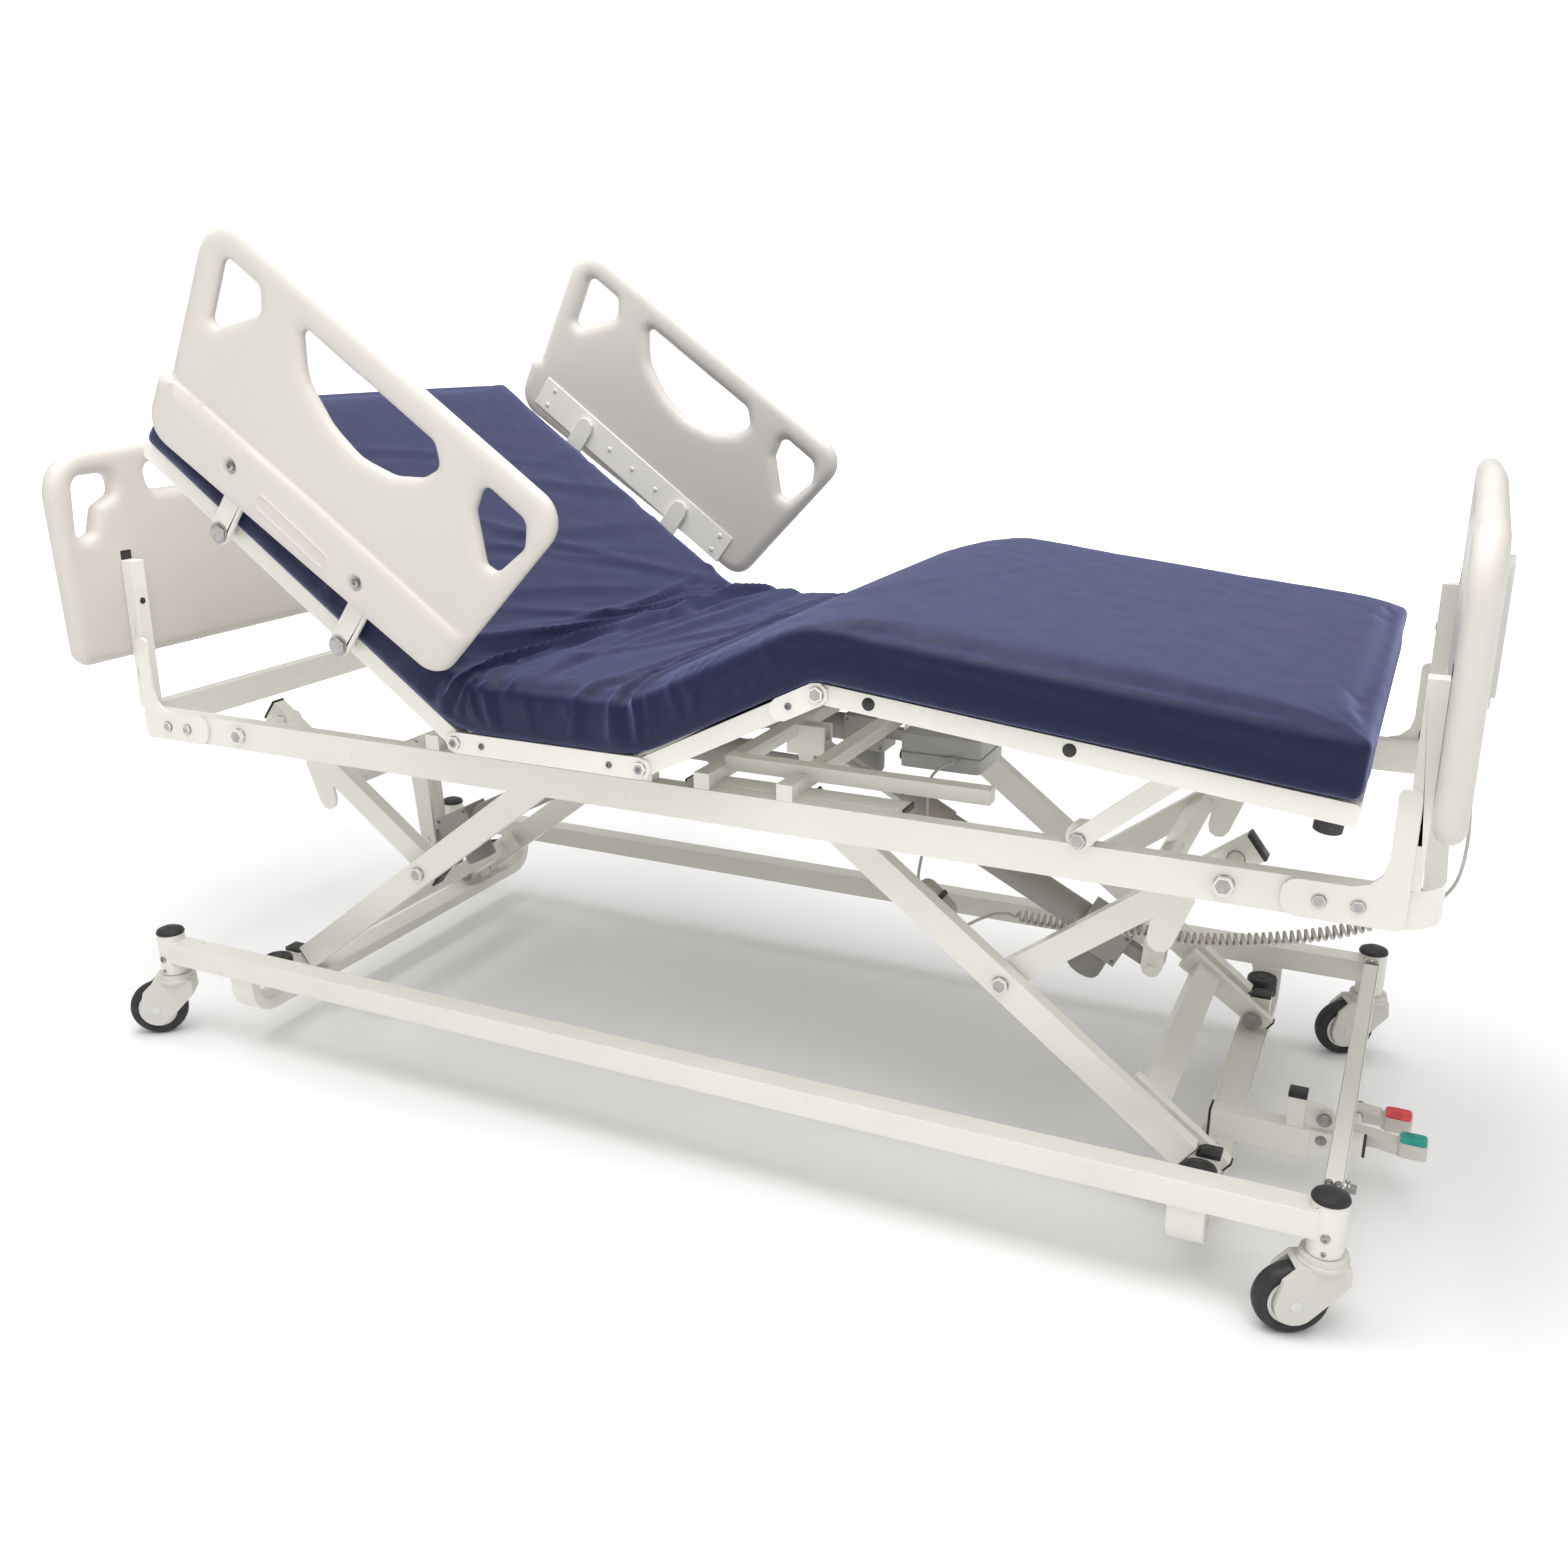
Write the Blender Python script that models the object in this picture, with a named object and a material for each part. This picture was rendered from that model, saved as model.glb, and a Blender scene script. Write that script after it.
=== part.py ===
"""Adjustable hospital bed: a wheeled base, a scissor lift, a jointed mattress deck and its side rails.

Metres, +Z up. +X runs from the head end to the foot end, and the near side is -Y.
"""

import math

import bmesh
import bpy
from mathutils import Matrix, Vector

# Where the bed's own centre line sits, so that the origin is under the middle of the whole object.
CENTRE_X = -0.01165

# Base
POST_X = 0.995
POST_Y = 0.413
POST_RADIUS = 0.0235
POST_TOP = 0.195
BASE_RAIL_SIZE = 0.040
BASE_RAIL_Z = 0.162
CROSS_BOTTOM = 0.068
CROSS_THICK = 0.020
CROSS_WIDTH = 0.050

# Casters
WHEEL_RADIUS = 0.050
WHEEL_HALF_WIDTH = 0.0145
WHEEL_TRAIL = 0.036
CASTER_TOP = 0.118
CASTER_YAW = {"near_head": 215, "far_head": 200, "near_foot": 205, "far_foot": 205}

# Lift linkage: a long leg from the base to a roller, and an arm half as long from its middle to the frame
LEG_LENGTH = 0.760
LIFT_ANGLE = 37.3
PIVOT_X = 0.822
LEG_PIVOT_Z = 0.112
ARM_LENGTH = LEG_LENGTH / 2
FRAME_Z = LEG_PIVOT_Z + LEG_LENGTH * math.sin(math.radians(LIFT_ANGLE))
LEG_DEPTH = 0.045
LEG_Y = (0.265, 0.290)
FORK_Y = (0.230, 0.247)
ARM_DEPTH = 0.040
ARM_Y = (0.237, 0.262)

# Upper frame
RAIL_Y = (0.3365, 0.3615)
RAIL_HALF_HEIGHT = 0.025
FRAME_END_X = 1.075
TRACK_X = (0.040, 0.380)
BRIDGE_Z = (FRAME_Z + 0.028, FRAME_Z + 0.0495)

# Mattress deck
DECK_Z = 0.645
BACK_HINGE_X = -0.299
THIGH_HINGE_X = 0.023
BACK_LENGTH = 0.705
THIGH_LENGTH = 0.305
FOOT_LENGTH = 0.680
BACK_ANGLE = 36.1
THIGH_ANGLE = 26.8
FOOT_ANGLE = -6.3
DECK_Y = (0.419, 0.4385)
PLATE_Y = (0.4388, 0.4445)
DECK_HALF_HEIGHT = 0.014
LINK_PIVOT = (0.636, 0.607)
LINK_TIP_ON_FOOT = (0.468, -0.020)
MATTRESS_HALF_WIDTH = 0.457
MATTRESS_Z = (0.017, 0.097)

# Side rails, in distance along the back section and height over it
RAIL_ARM_S = (0.232, 0.500)
RAIL_ARM_LENGTH = 0.132
RAIL_ARM_Y = (0.4605, 0.4675)
PANEL_Y = (0.472, 0.500)
BAND_Y = 0.508

# Boards
BOARD_X = (1.0478, 1.0850)
BOARD_HALF_WIDTH = 0.475
BOARD_Z = (0.690, 1.060)

# Actuators
LIFT_Y = -0.030
LIFT_ROD_PIN = (0.120, 0.590)
LIFT_BODY_PIN = (0.690, 0.300)
BACK_Y = 0.220
BACK_BODY_PIN = (0.200, 0.545)
BACK_CRANK = (-0.0457, -0.0776)
KNEE_Y = 0.100
KNEE_BODY_PIN = (-0.410, 0.515)
KNEE_CRANK = (-0.0395, -0.1343)

# Pedals
PEDAL_PIVOT = (1.010, 0.118)
PEDAL_Y = {"steer": -0.0985, "brake": -0.0315}

# Hand control and its cord
HANDSET_Z = (0.765, 0.955)
CORD_RADIUS = 0.0025
CURL_RADIUS = 0.010
GAP = 0.0003

SIDES = {"near": -1, "far": 1}
ENDS = {"head": -1, "foot": 1}


# Materials


def material(name, colour, roughness, metallic=0.0):
    made = bpy.data.materials.new(name)
    made.use_nodes = True
    shader = made.node_tree.nodes["Principled BSDF"]
    shader.inputs["Base Color"].default_value = (*colour, 1)
    shader.inputs["Roughness"].default_value = roughness
    shader.inputs["Metallic"].default_value = metallic
    made.diffuse_color = (*colour, 1)
    return made


# Outlines


def arc(centre, radius, start, end, steps):
    """Points on a circle, from one angle to another in degrees."""
    angles = [math.radians(start + (end - start) * i / steps) for i in range(steps + 1)]
    return [(centre[0] + radius * math.cos(a), centre[1] + radius * math.sin(a)) for a in angles]


def rounded(corners, steps=2):
    """An outline from (x, y, radius) corners, each turned into an arc."""
    outline = []
    for i, (x, y, radius) in enumerate(corners):
        here = Vector((x, y))
        if radius == 0:
            outline.append((x, y))
            continue
        back = (Vector(corners[i - 1][:2]) - here).normalized()
        ahead = (Vector(corners[(i + 1) % len(corners)][:2]) - here).normalized()
        half = back.angle(ahead) / 2
        middle = here + (back + ahead).normalized() * (radius / math.sin(half))
        first = here + back * (radius / math.tan(half)) - middle
        last = here + ahead * (radius / math.tan(half)) - middle
        turn = first.angle_signed(last)
        for step in range(steps + 1):
            outline.append(tuple(middle + Matrix.Rotation(-turn * step / steps, 2) @ first))
    return outline


def capsule(first, last, first_radius, last_radius=None, steps=4):
    """The outline round two circles."""
    last_radius = first_radius if last_radius is None else last_radius
    along = Vector(last) - Vector(first)
    aim = math.degrees(math.atan2(along.y, along.x))
    lean = math.degrees(math.asin((first_radius - last_radius) / along.length))
    head = arc(last, last_radius, aim - 90 + lean, aim + 90 - lean, steps)
    tail = arc(first, first_radius, aim + 90 - lean, aim + 270 + lean, steps)
    return head + tail


# Closed shapes


def place(axis, u, v, w):
    """A point from two plane coordinates and one along the axis."""
    return {"X": (w, u, v), "Y": (u, w, v), "Z": (u, v, w)}[axis]


def prism(axis, outline, low, high):
    shape = bmesh.new()
    low, high = sorted((low, high))
    first = [shape.verts.new(place(axis, u, v, low)) for u, v in outline]
    last = [shape.verts.new(place(axis, u, v, high)) for u, v in outline]
    shape.faces.new(first)
    shape.faces.new(last[::-1])
    for i in range(len(outline)):
        j = (i + 1) % len(outline)
        shape.faces.new((first[j], first[i], last[i], last[j]))
    bmesh.ops.recalc_face_normals(shape, faces=shape.faces)
    return shape


def box(x, y, z):
    corners = [(x[0], y[0]), (x[1], y[0]), (x[1], y[1]), (x[0], y[1])]
    return prism("Z", corners, *z)


def rod(axis, centre, radius, low, high, sides=10):
    """A round bar along the axis, centred on two plane coordinates."""
    return prism(axis, arc(centre, radius, 0, 360 - 360 / sides, sides - 1), low, high)


def lathe(profile, sides):
    """A ring round the Y axis from a closed profile of (radius, y)."""
    shape = bmesh.new()
    rings = []
    for i in range(sides):
        a = 2 * math.pi * i / sides
        rings.append([shape.verts.new((r * math.cos(a), y, r * math.sin(a))) for r, y in profile])
    for i, ring in enumerate(rings):
        after = rings[(i + 1) % sides]
        for j in range(len(profile)):
            k = (j + 1) % len(profile)
            shape.faces.new((ring[j], ring[k], after[k], after[j]))
    bmesh.ops.recalc_face_normals(shape, faces=shape.faces)
    return shape


def span(pair, side):
    """A stretch of Y on one side of the bed, lowest first."""
    return tuple(sorted((side * pair[0], side * pair[1])))


# Objects


def helper(shape, extend):
    """A hidden object that a Boolean uses."""
    mesh = bpy.data.meshes.new("helper")
    if extend < 0:
        bmesh.ops.scale(shape, vec=(-1, 1, 1), verts=shape.verts)
        bmesh.ops.reverse_faces(shape, faces=shape.faces)
    shape.to_mesh(mesh)
    shape.free()
    made = bpy.data.objects.new("helper", mesh)
    bpy.context.scene.collection.objects.link(made)
    made.hide_render = True
    made.display_type = "WIRE"
    return made


def boolean(target, operation, others):
    """Joins the helpers to the target, or cuts them out, and removes them."""
    for other in others:
        step = target.modifiers.new("step", "BOOLEAN")
        step.operation = operation
        step.solver = "EXACT"
        step.object = other
    graph = bpy.context.evaluated_depsgraph_get()
    joined = bpy.data.meshes.new_from_object(target.evaluated_get(graph))
    target.modifiers.clear()
    target.data = joined
    for other in others:
        bpy.data.objects.remove(other)


def solid(name, shapes, look, parent, cuts=(), extend=1, added=(), trimmed=()):
    """One named piece: shapes joined, less the cuts, then the added shapes joined and those trimmed cut.

    extend -1 mirrors it in X.
    """
    pieces = [helper(shape, extend) for shape in shapes]
    made = pieces[0]
    if len(pieces) > 1:
        boolean(made, "UNION", pieces[1:])
    if cuts:
        boolean(made, "DIFFERENCE", [helper(cut, extend) for cut in cuts])
    if added:
        boolean(made, "UNION", [helper(shape, extend) for shape in added])
    if trimmed:
        boolean(made, "DIFFERENCE", [helper(cut, extend) for cut in trimmed])
    made.name = name
    made.data.name = name
    made.hide_render = False
    made.display_type = "TEXTURED"
    made.data.materials.clear()
    made.data.materials.append(look)
    made.data.shade_smooth()
    made.data.set_sharp_from_angle(angle=math.radians(40))
    made.parent = parent
    return made


def pivot(name, location, parent, pitch=0, yaw=0):
    """An empty on a joint's axis. pitch turns about Y and yaw about Z, in degrees."""
    made = bpy.data.objects.new(name, None)
    bpy.context.scene.collection.objects.link(made)
    made.location = location
    made.rotation_euler = (0, math.radians(pitch), math.radians(yaw))
    made.parent = parent
    return made


def tube(name, points, radius, look, parent, resolution=2):
    """A round cord on a poly line through the points."""
    data = bpy.data.curves.new(name, "CURVE")
    data.dimensions = "3D"
    data.bevel_depth = radius
    data.bevel_resolution = resolution
    data.use_fill_caps = True
    line = data.splines.new("POLY")
    line.points.add(len(points) - 1)
    for point, place_at in zip(line.points, points):
        point.co = (*place_at, 1)
    data.materials.append(look)
    made = bpy.data.objects.new(name, data)
    bpy.context.scene.collection.objects.link(made)
    made.parent = parent
    return made


def smooth(points, per_stretch):
    """Points on a Catmull-Rom curve through the route's own points."""
    ends = [points[0], *points, points[-1]]
    found = []
    for a, b, c, d in zip(ends, ends[1:], ends[2:], ends[3:]):
        a, b, c, d = Vector(a), Vector(b), Vector(c), Vector(d)
        for i in range(per_stretch):
            t = i / per_stretch
            bend = (2 * a - 5 * b + 4 * c - d) * t**2 + (3 * b - a - 3 * c + d) * t**3
            found.append(tuple((2 * b + (c - a) * t + bend) / 2))
    found.append(tuple(points[-1]))
    return found


# Base


def base_rail(side_name, root):
    side = SIDES[side_name]
    half = BASE_RAIL_SIZE / 2
    y = side * POST_Y
    shapes = [box((-POST_X, POST_X), (y - half, y + half), (BASE_RAIL_Z - half, BASE_RAIL_Z + half))]
    for end in (-1, 1):
        shapes.append(rod("Z", (end * POST_X, y), POST_RADIUS, CASTER_TOP + GAP, POST_TOP, 16))
    solid("base_rail_" + side_name, shapes, PAINT, root)


def cross_member_outline():
    """A flat tube whose ends bend up to meet the underside of both side rails."""
    top = BASE_RAIL_Z - BASE_RAIL_SIZE / 2 - GAP
    reach = 0.425
    bend = 0.050
    centre = (reach - bend, CROSS_BOTTOM + bend)
    outer = arc(centre, bend, 0, -90, 5)
    inner = arc(centre, bend - CROSS_THICK, -90, 0, 5)
    far_half = [(reach, top), *outer]
    far_inner = [*inner, (reach - CROSS_THICK, top)]
    near_half = [(-y, z) for y, z in reversed(far_half)]
    near_inner = [(-y, z) for y, z in reversed(far_inner)]
    return far_half + near_half + near_inner + far_inner


def base_cross(end_name, root):
    """The cross-member with the stub posts and pins that carry the legs, and at the foot the pedal bracket."""
    end = ENDS[end_name]
    top = CROSS_BOTTOM + CROSS_THICK
    x = (PIVOT_X - CROSS_WIDTH / 2, PIVOT_X + CROSS_WIDTH / 2)
    shapes = [prism("X", cross_member_outline(), *x)]
    for side in (-1, 1):
        shapes.append(box((PIVOT_X - 0.012, PIVOT_X + 0.023), span((0.2625, 0.2905), side), (top - 0.003, 0.138)))
        pin = (PIVOT_X, LEG_PIVOT_Z)
        shapes.append(rod("Y", pin, 0.008, *span((0.224, 0.270), side)))
        shapes.append(rod("Y", pin, 0.013, *span((0.2220, 0.2295), side), sides=6))
        shapes.append(rod("Z", (PIVOT_X, side * 0.333), 0.017, top - 0.002, 0.118))
        shapes.append(rod("Z", (PIVOT_X, side * 0.333), 0.024, 0.1175, 0.146, 16))
    if end > 0:
        shapes += pedal_bracket(top)
    solid("base_cross_" + end_name, shapes, PAINT, root, extend=end)


def pedal_bracket(top):
    gusset = [(0.932, 0.174), (0.976, 0.164), (0.990, 0.146), (0.976, 0.128), (0.932, 0.120)]
    return [
        box((0.810, 0.950), (-0.1430, -0.1120), (top - 0.002, 0.132)),
        box((0.9150, 0.9400), (-0.1395, -0.1155), (0.120, 0.178)),
        box((0.940, 1.0225), (-0.1390, -0.1160), (0.105, 0.130)),
        prism("Y", gusset, -0.132, -0.124),
        rod("Y", (0.967, 0.152), 0.0085, -0.138, -0.128, sides=6),
        rod("Y", PEDAL_PIVOT, 0.006, -0.120, -0.012),
    ]


def foot_end_bar(root):
    """The tie bolted between the two foot posts."""
    reach = POST_Y - POST_RADIUS - 0.0004
    shapes = [box((POST_X - 0.0125, POST_X + 0.0125), (-reach, reach), (0.166, 0.190))]
    for side in (-1, 1):
        for x in (-0.006, 0.006):
            shapes.append(rod("Z", (POST_X + x, side * (reach - 0.018)), 0.0045, 0.188, 0.194, 6))
    solid("foot_end_bar", shapes, PAINT, root)


def pedal(kind, pad_x, root):
    """A foot lever on the bracket's cross pin. Its origin is on the pin."""
    x, z = PEDAL_PIVOT
    hinge = pivot(kind + "_pedal_pivot", (x, PEDAL_Y[kind], z), root)
    arm = [(-0.012, -0.011), (0.030, -0.009), (pad_x - 0.02, -0.013), (pad_x + 0.018, -0.013)]
    arm += [(pad_x + 0.018, 0.004), (pad_x - 0.02, 0.004), (0.030, 0.008), (-0.012, 0.011)]
    pad = rounded([(pad_x - 0.018, -0.018, 0.006), (pad_x + 0.021, -0.018, 0.006),
                   (pad_x + 0.021, 0.018, 0.006), (pad_x - 0.018, 0.018, 0.006)])
    shapes = [prism("Y", arm, -0.0135, 0.0135), prism("Z", pad, -0.013, 0.009)]
    cuts = [rod("Y", (0, 0), 0.0068, -0.02, 0.02)]
    solid(kind + "_pedal", shapes, PLASTIC, hinge, cuts)


def caster(corner, root):
    """A swivelling hooded caster: the hood turns about its post and carries the wheel."""
    side_name, end_name = corner.split("_")
    post = (ENDS[end_name] * POST_X, SIDES[side_name] * POST_Y, 0)
    swivel = pivot("swivel_" + corner, post, root, yaw=CASTER_YAW[corner])
    hub = (WHEEL_TRAIL, WHEEL_RADIUS)
    cheek = [(-0.029, 0.107), (-0.031, 0.080), *arc(hub, 0.028, 215, 380, 8), (0.056, 0.088), (0.036, 0.107)]
    shapes = [
        rod("Z", (0, 0), 0.031, 0.1045, CASTER_TOP, 16),
        prism("Y", cheek, -0.024, 0.024),
    ]
    slot = rod("Y", hub, WHEEL_RADIUS + 0.0035, -0.0165, 0.0165, 20)
    axle = rod("Y", hub, 0.005, -0.0230, 0.0230)
    solid("caster_hood_" + corner, shapes, HOOD, swivel, [slot], added=[axle])
    axle_pivot = pivot("axle_" + corner, (WHEEL_TRAIL, 0, WHEEL_RADIUS), swivel)
    w = WHEEL_HALF_WIDTH
    profile = [(0.0056, -w), (0.0450, -w), (WHEEL_RADIUS, -0.007)]
    profile += [(r, -y) for r, y in reversed(profile)]
    solid("caster_wheel_" + corner, [lathe(profile, 24)], RUBBER, axle_pivot)


# Lift linkage


def lift_leg(end_name, root):
    """Both long legs of one end with their cross tube, fork plates and top rollers."""
    extend = -ENDS[end_name]
    hinge = pivot(end_name + "_leg_pivot", (-extend * PIVOT_X, 0, LEG_PIVOT_Z), root, -extend * LIFT_ANGLE)
    half = LEG_DEPTH / 2
    shapes = []
    cuts = []
    for side in (-1, 1):
        shapes.append(box((0.030, LEG_LENGTH + 0.004), span(LEG_Y, side), (-half, half)))
        plate = [(0.150, -0.0200), (0.150, 0.0200), (-0.026, 0.0200), (-0.026, 0.0040), (-0.018, -0.0060)]
        plate += [(0.010, -0.0125)]
        shapes.append(prism("Y", plate, *span(FORK_Y, side)))
        shapes.append(rod("Y", (LEG_LENGTH, 0), 0.008, *span((0.280, 0.301), side)))
        shapes.append(rod("Y", (LEG_LENGTH, 0), 0.0195, *span((0.2995, 0.330), side), sides=16))
        cuts.append(rod("Y", (0, 0), 0.009, *span((0.220, 0.300), side)))
        cuts.append(rod("Y", (ARM_LENGTH, 0), 0.0085, *span((0.255, 0.300), side)))
    shapes.append(box((0.085, 0.130), (-0.27, 0.27), (-0.0125, 0.0125)))
    solid(end_name + "_leg_frame", shapes, PAINT, hinge, cuts, extend)


def lift_arm(end_name, root):
    """Both half-length arms of one end with their cross tube, crank, stop plates and middle pins."""
    extend = -ENDS[end_name]
    lift = math.radians(LIFT_ANGLE)
    middle = (-extend * (PIVOT_X - ARM_LENGTH * math.cos(lift)), 0, LEG_PIVOT_Z + ARM_LENGTH * math.sin(lift))
    hinge = pivot(end_name + "_arm_pivot", middle, root, extend * LIFT_ANGLE)
    half = ARM_DEPTH / 2
    crank = crank_on_arm()
    shapes = []
    for side in (-1, 1):
        shapes.append(box((-0.022, ARM_LENGTH + 0.030), span(ARM_Y, side), (-half, half)))
        shapes.append(rod("Y", (0, 0), 0.0075, *span((0.250, 0.296), side)))
        shapes.append(rod("Y", (0, 0), 0.0125, *span((0.2905, 0.2985), side), sides=6))
        tongue = capsule((0.285, -0.006), (0.228, -0.052), 0.026, 0.018)
        shapes.append(prism("Y", tongue, *span((0.2555, 0.2615), side)))
        ear = capsule((0.230, -0.002), crank, 0.020, 0.016)
        shapes.append(prism("Y", ear, *offset(LIFT_Y, (0.014, 0.020), side)))
    shapes.append(box((0.2125, 0.2475), (-0.24, 0.24), (-0.0125, 0.0125)))
    shapes.append(rod("Y", crank, 0.006, LIFT_Y - 0.024, LIFT_Y + 0.024))
    cuts = [rod("Y", (ARM_LENGTH, 0), 0.0125, *span((0.23, 0.27), side)) for side in (-1, 1)]
    solid(end_name + "_arm_frame", shapes, PAINT, hinge, cuts, -extend)


def offset(centre, pair, side):
    """A stretch of Y on one side of a centre plane."""
    return tuple(sorted((centre + side * pair[0], centre + side * pair[1])))


def crank_on_arm():
    """The lift actuator's body pin, in the arm's own frame."""
    lift = math.radians(LIFT_ANGLE)
    out = Vector((LIFT_BODY_PIN[0] - PIVOT_X, LIFT_BODY_PIN[1] - FRAME_Z))
    along = Vector((math.cos(lift), math.sin(lift)))
    across = Vector((-math.sin(lift), math.cos(lift)))
    return (ARM_LENGTH + out.dot(along), out.dot(across))


# Upper frame


def upper_frame(root):
    low, high = FRAME_Z - RAIL_HALF_HEIGHT, FRAME_Z + RAIL_HALF_HEIGHT
    wall = RAIL_Y[1] - RAIL_Y[0]
    x, y = FRAME_END_X, RAIL_Y[1]
    ring = rounded([(-x, -y, 0.060), (x, -y, 0.060), (x, y, 0.060), (-x, y, 0.060)], 4)
    shapes = [prism("Z", ring, low, high)]
    inner_x, inner_y = x - wall, RAIL_Y[0]
    cuts = [box((-inner_x, inner_x), (-inner_y, inner_y), (low - 0.01, high + 0.01))]
    added = []
    removed = []
    inset = (RAIL_Y[0] + 0.001, RAIL_Y[1] - 0.001)
    for side in (-1, 1):
        for end in (-1, 1):
            track = sorted((end * TRACK_X[0], end * TRACK_X[1]))
            added.append(box(track, span((0.296, 0.3370), side), (FRAME_Z - 0.0285, FRAME_Z + 0.0285)))
            inside = (track[0] - 0.01, track[1] + 0.01)
            removed.append(box(inside, span((0.290, 0.3330), side), (FRAME_Z - 0.0205, FRAME_Z + 0.0205)))
            shaft = (end * PIVOT_X, FRAME_Z)
            added.append(rod("Y", shaft, 0.0115, *span((0.2285, 0.345), side)))
            added.append(rod("Y", shaft, 0.0155, *span((0.2275, 0.2364), side)))
            added.append(rod("Y", shaft, 0.014, *span((0.355, 0.3710), side), sides=6))
        added.append(rod("Y", LINK_PIVOT, 0.020, *span(inset, side)))
        for stand in (BACK_HINGE_X + 0.030, THIGH_HINGE_X - 0.055):
            added.append(box((stand, stand + 0.025), span(inset, side), (high - 0.004, DECK_Z - 0.0065)))
    for bridge in BRIDGES:
        added += frame_bridge(bridge)
    for end in (-1, 1):
        for side in (-1, 1):
            ear = sorted((end * 0.070, end * 0.137))
            hanging = (LIFT_ROD_PIN[1] - 0.020, BRIDGE_Z[1] - 0.003)
            added.append(box(ear, offset(LIFT_Y, (0.012, 0.018), side), hanging))
    for centre, pin in ((BACK_Y, BACK_BODY_PIN), (KNEE_Y, KNEE_BODY_PIN)):
        for side in (-1, 1):
            ear = capsule((pin[0] + 0.004, BRIDGE_Z[0]), pin, 0.016)
            ear = [(u, min(v, BRIDGE_Z[1] - 0.004)) for u, v in ear]
            added.append(prism("Y", ear, *offset(centre, (0.012, 0.018), side)))
        added.append(rod("Y", pin, 0.006, centre - 0.022, centre + 0.022))
    added.append(box((0.085, 0.495), (-0.300, -0.275), (BRIDGE_Z[1] - 0.010, BRIDGE_Z[1] + 0.012)))
    solid("upper_frame", shapes, PAINT, root, cuts, added=added, trimmed=removed)


BRIDGES = (-0.410, -0.0765, 0.0765, 0.210)


def frame_bridge(x):
    """A cross tube that stands on both rails, clear of the rollers below it."""
    outer, inner = RAIL_Y[1] - 0.001, RAIL_Y[0] + 0.001
    low, top = BRIDGE_Z
    foot = FRAME_Z + RAIL_HALF_HEIGHT - 0.004
    outline = [(outer, foot), (outer, top), (-outer, top), (-outer, foot)]
    outline += [(-inner, foot), (-inner, low), (inner, low), (inner, foot)]
    return [prism("X", outline, x - 0.0125, x + 0.0125)]


def board_bracket(end_name, side_name, root):
    """The corner plate bolted to the frame, with the post that the board is fixed to."""
    end, side = ENDS[end_name], SIDES[side_name]
    low, high = FRAME_Z - RAIL_HALF_HEIGHT, FRAME_Z + RAIL_HALF_HEIGHT
    corners = [(0.890, low, 0.020), (1.036, low, 0.012), (1.036, 0.727, 0.010)]
    corners += [(1.0095, 0.727, 0.010), (1.0095, high, 0.038), (0.890, high, 0.020)]
    shapes = [prism("Y", rounded(corners, 3), *span((0.3618, 0.3678), side))]
    shapes.append(box((1.0225, 1.0470), span((0.3375, 0.3640), side), (high + 0.003, 0.860)))
    for x in (0.936, 0.981):
        shapes.append(rod("Y", (x, FRAME_Z), 0.008, *span((0.3670, 0.3725), side), sides=6))
    solid("%s_board_bracket_%s" % (end_name, side_name), shapes, PAINT, root, extend=end)


def board(end_name, root):
    """A moulded end board with a long middle grip and a hand hole at each corner."""
    low, high = BOARD_Z
    w = BOARD_HALF_WIDTH
    corners = [(-w + 0.006, low, 0.030), (w - 0.006, low, 0.030), (w + 0.006, high - 0.015, 0.075)]
    corners += [(0.0, high + 0.010, 0.6), (-w - 0.006, high - 0.015, 0.075)]
    shapes = [prism("X", rounded(corners, 4), *BOARD_X)]
    cuts = []
    for side in (-1, 1):
        hole = [(0.352, 1.008, 0.020), (0.430, 1.006, 0.022), (0.436, 0.900, 0.012), (0.405, 0.912, 0.012)]
        hole += [(0.392, 0.955, 0.020), (0.355, 0.972, 0.012)]
        cuts.append(prism("X", rounded([(side * y, z, r) for y, z, r in hole]), 1.0, 1.15))
    grip = [(-0.285, 1.018, 0.018), (0.285, 1.018, 0.018), (0.275, 0.972, 0.016), (-0.275, 0.972, 0.016)]
    cuts.append(prism("X", rounded(grip), 1.0, 1.15))
    name = {"head": "headboard", "foot": "footboard"}[end_name]
    solid(name, shapes, PLASTIC, root, cuts, ENDS[end_name])


# Mattress deck. Each section is built flat, from its own hinge, and tilted by its pivot.


def deck_section(name, length, parent, extend, crossings, extras=(), cuts=(), ends=True):
    """Two side rails with an eye at the hinge, cross tubes, and a steel sheet on top."""
    eye = 0.0155
    shapes = []
    holes = []
    for side in (-1, 1):
        y = span(DECK_Y, side)
        tongue = rounded([(0.005, -DECK_HALF_HEIGHT, 0), (length, -DECK_HALF_HEIGHT, 0.006),
                          (length, DECK_HALF_HEIGHT, 0.006), (0.005, DECK_HALF_HEIGHT, 0)])
        shapes.append(prism("Y", tongue, *y))
        shapes.append(rod("Y", (0, 0), eye, *span((DECK_Y[0] + 0.0006, DECK_Y[1] - 0.0006), side), sides=14))
        holes.append(rod("Y", (0, 0), 0.0072, *span((0.40, 0.46), side)))
    for x in crossings:
        shapes.append(box((x, x + 0.025), (-0.425, 0.425), (-0.006, 0.010)))
    shapes.append(box((0.020, crossings[-1] + 0.012), (-0.425, 0.425), (0.007, 0.0115)))
    return solid(name, shapes + list(extras), PAINT, parent, holes + list(cuts), extend)


def hinge_plates(points, rivets):
    """Outer plates that carry the hinge pins, riveted to the rails."""
    shapes = []
    for side in (-1, 1):
        shapes.append(prism("Y", capsule(*points, 0.0165), *span(PLATE_Y, side)))
        for x in rivets:
            shapes.append(rod("Y", (x, 0), 0.006, *span((0.430, 0.4455), side), sides=8))
    return shapes


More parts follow.
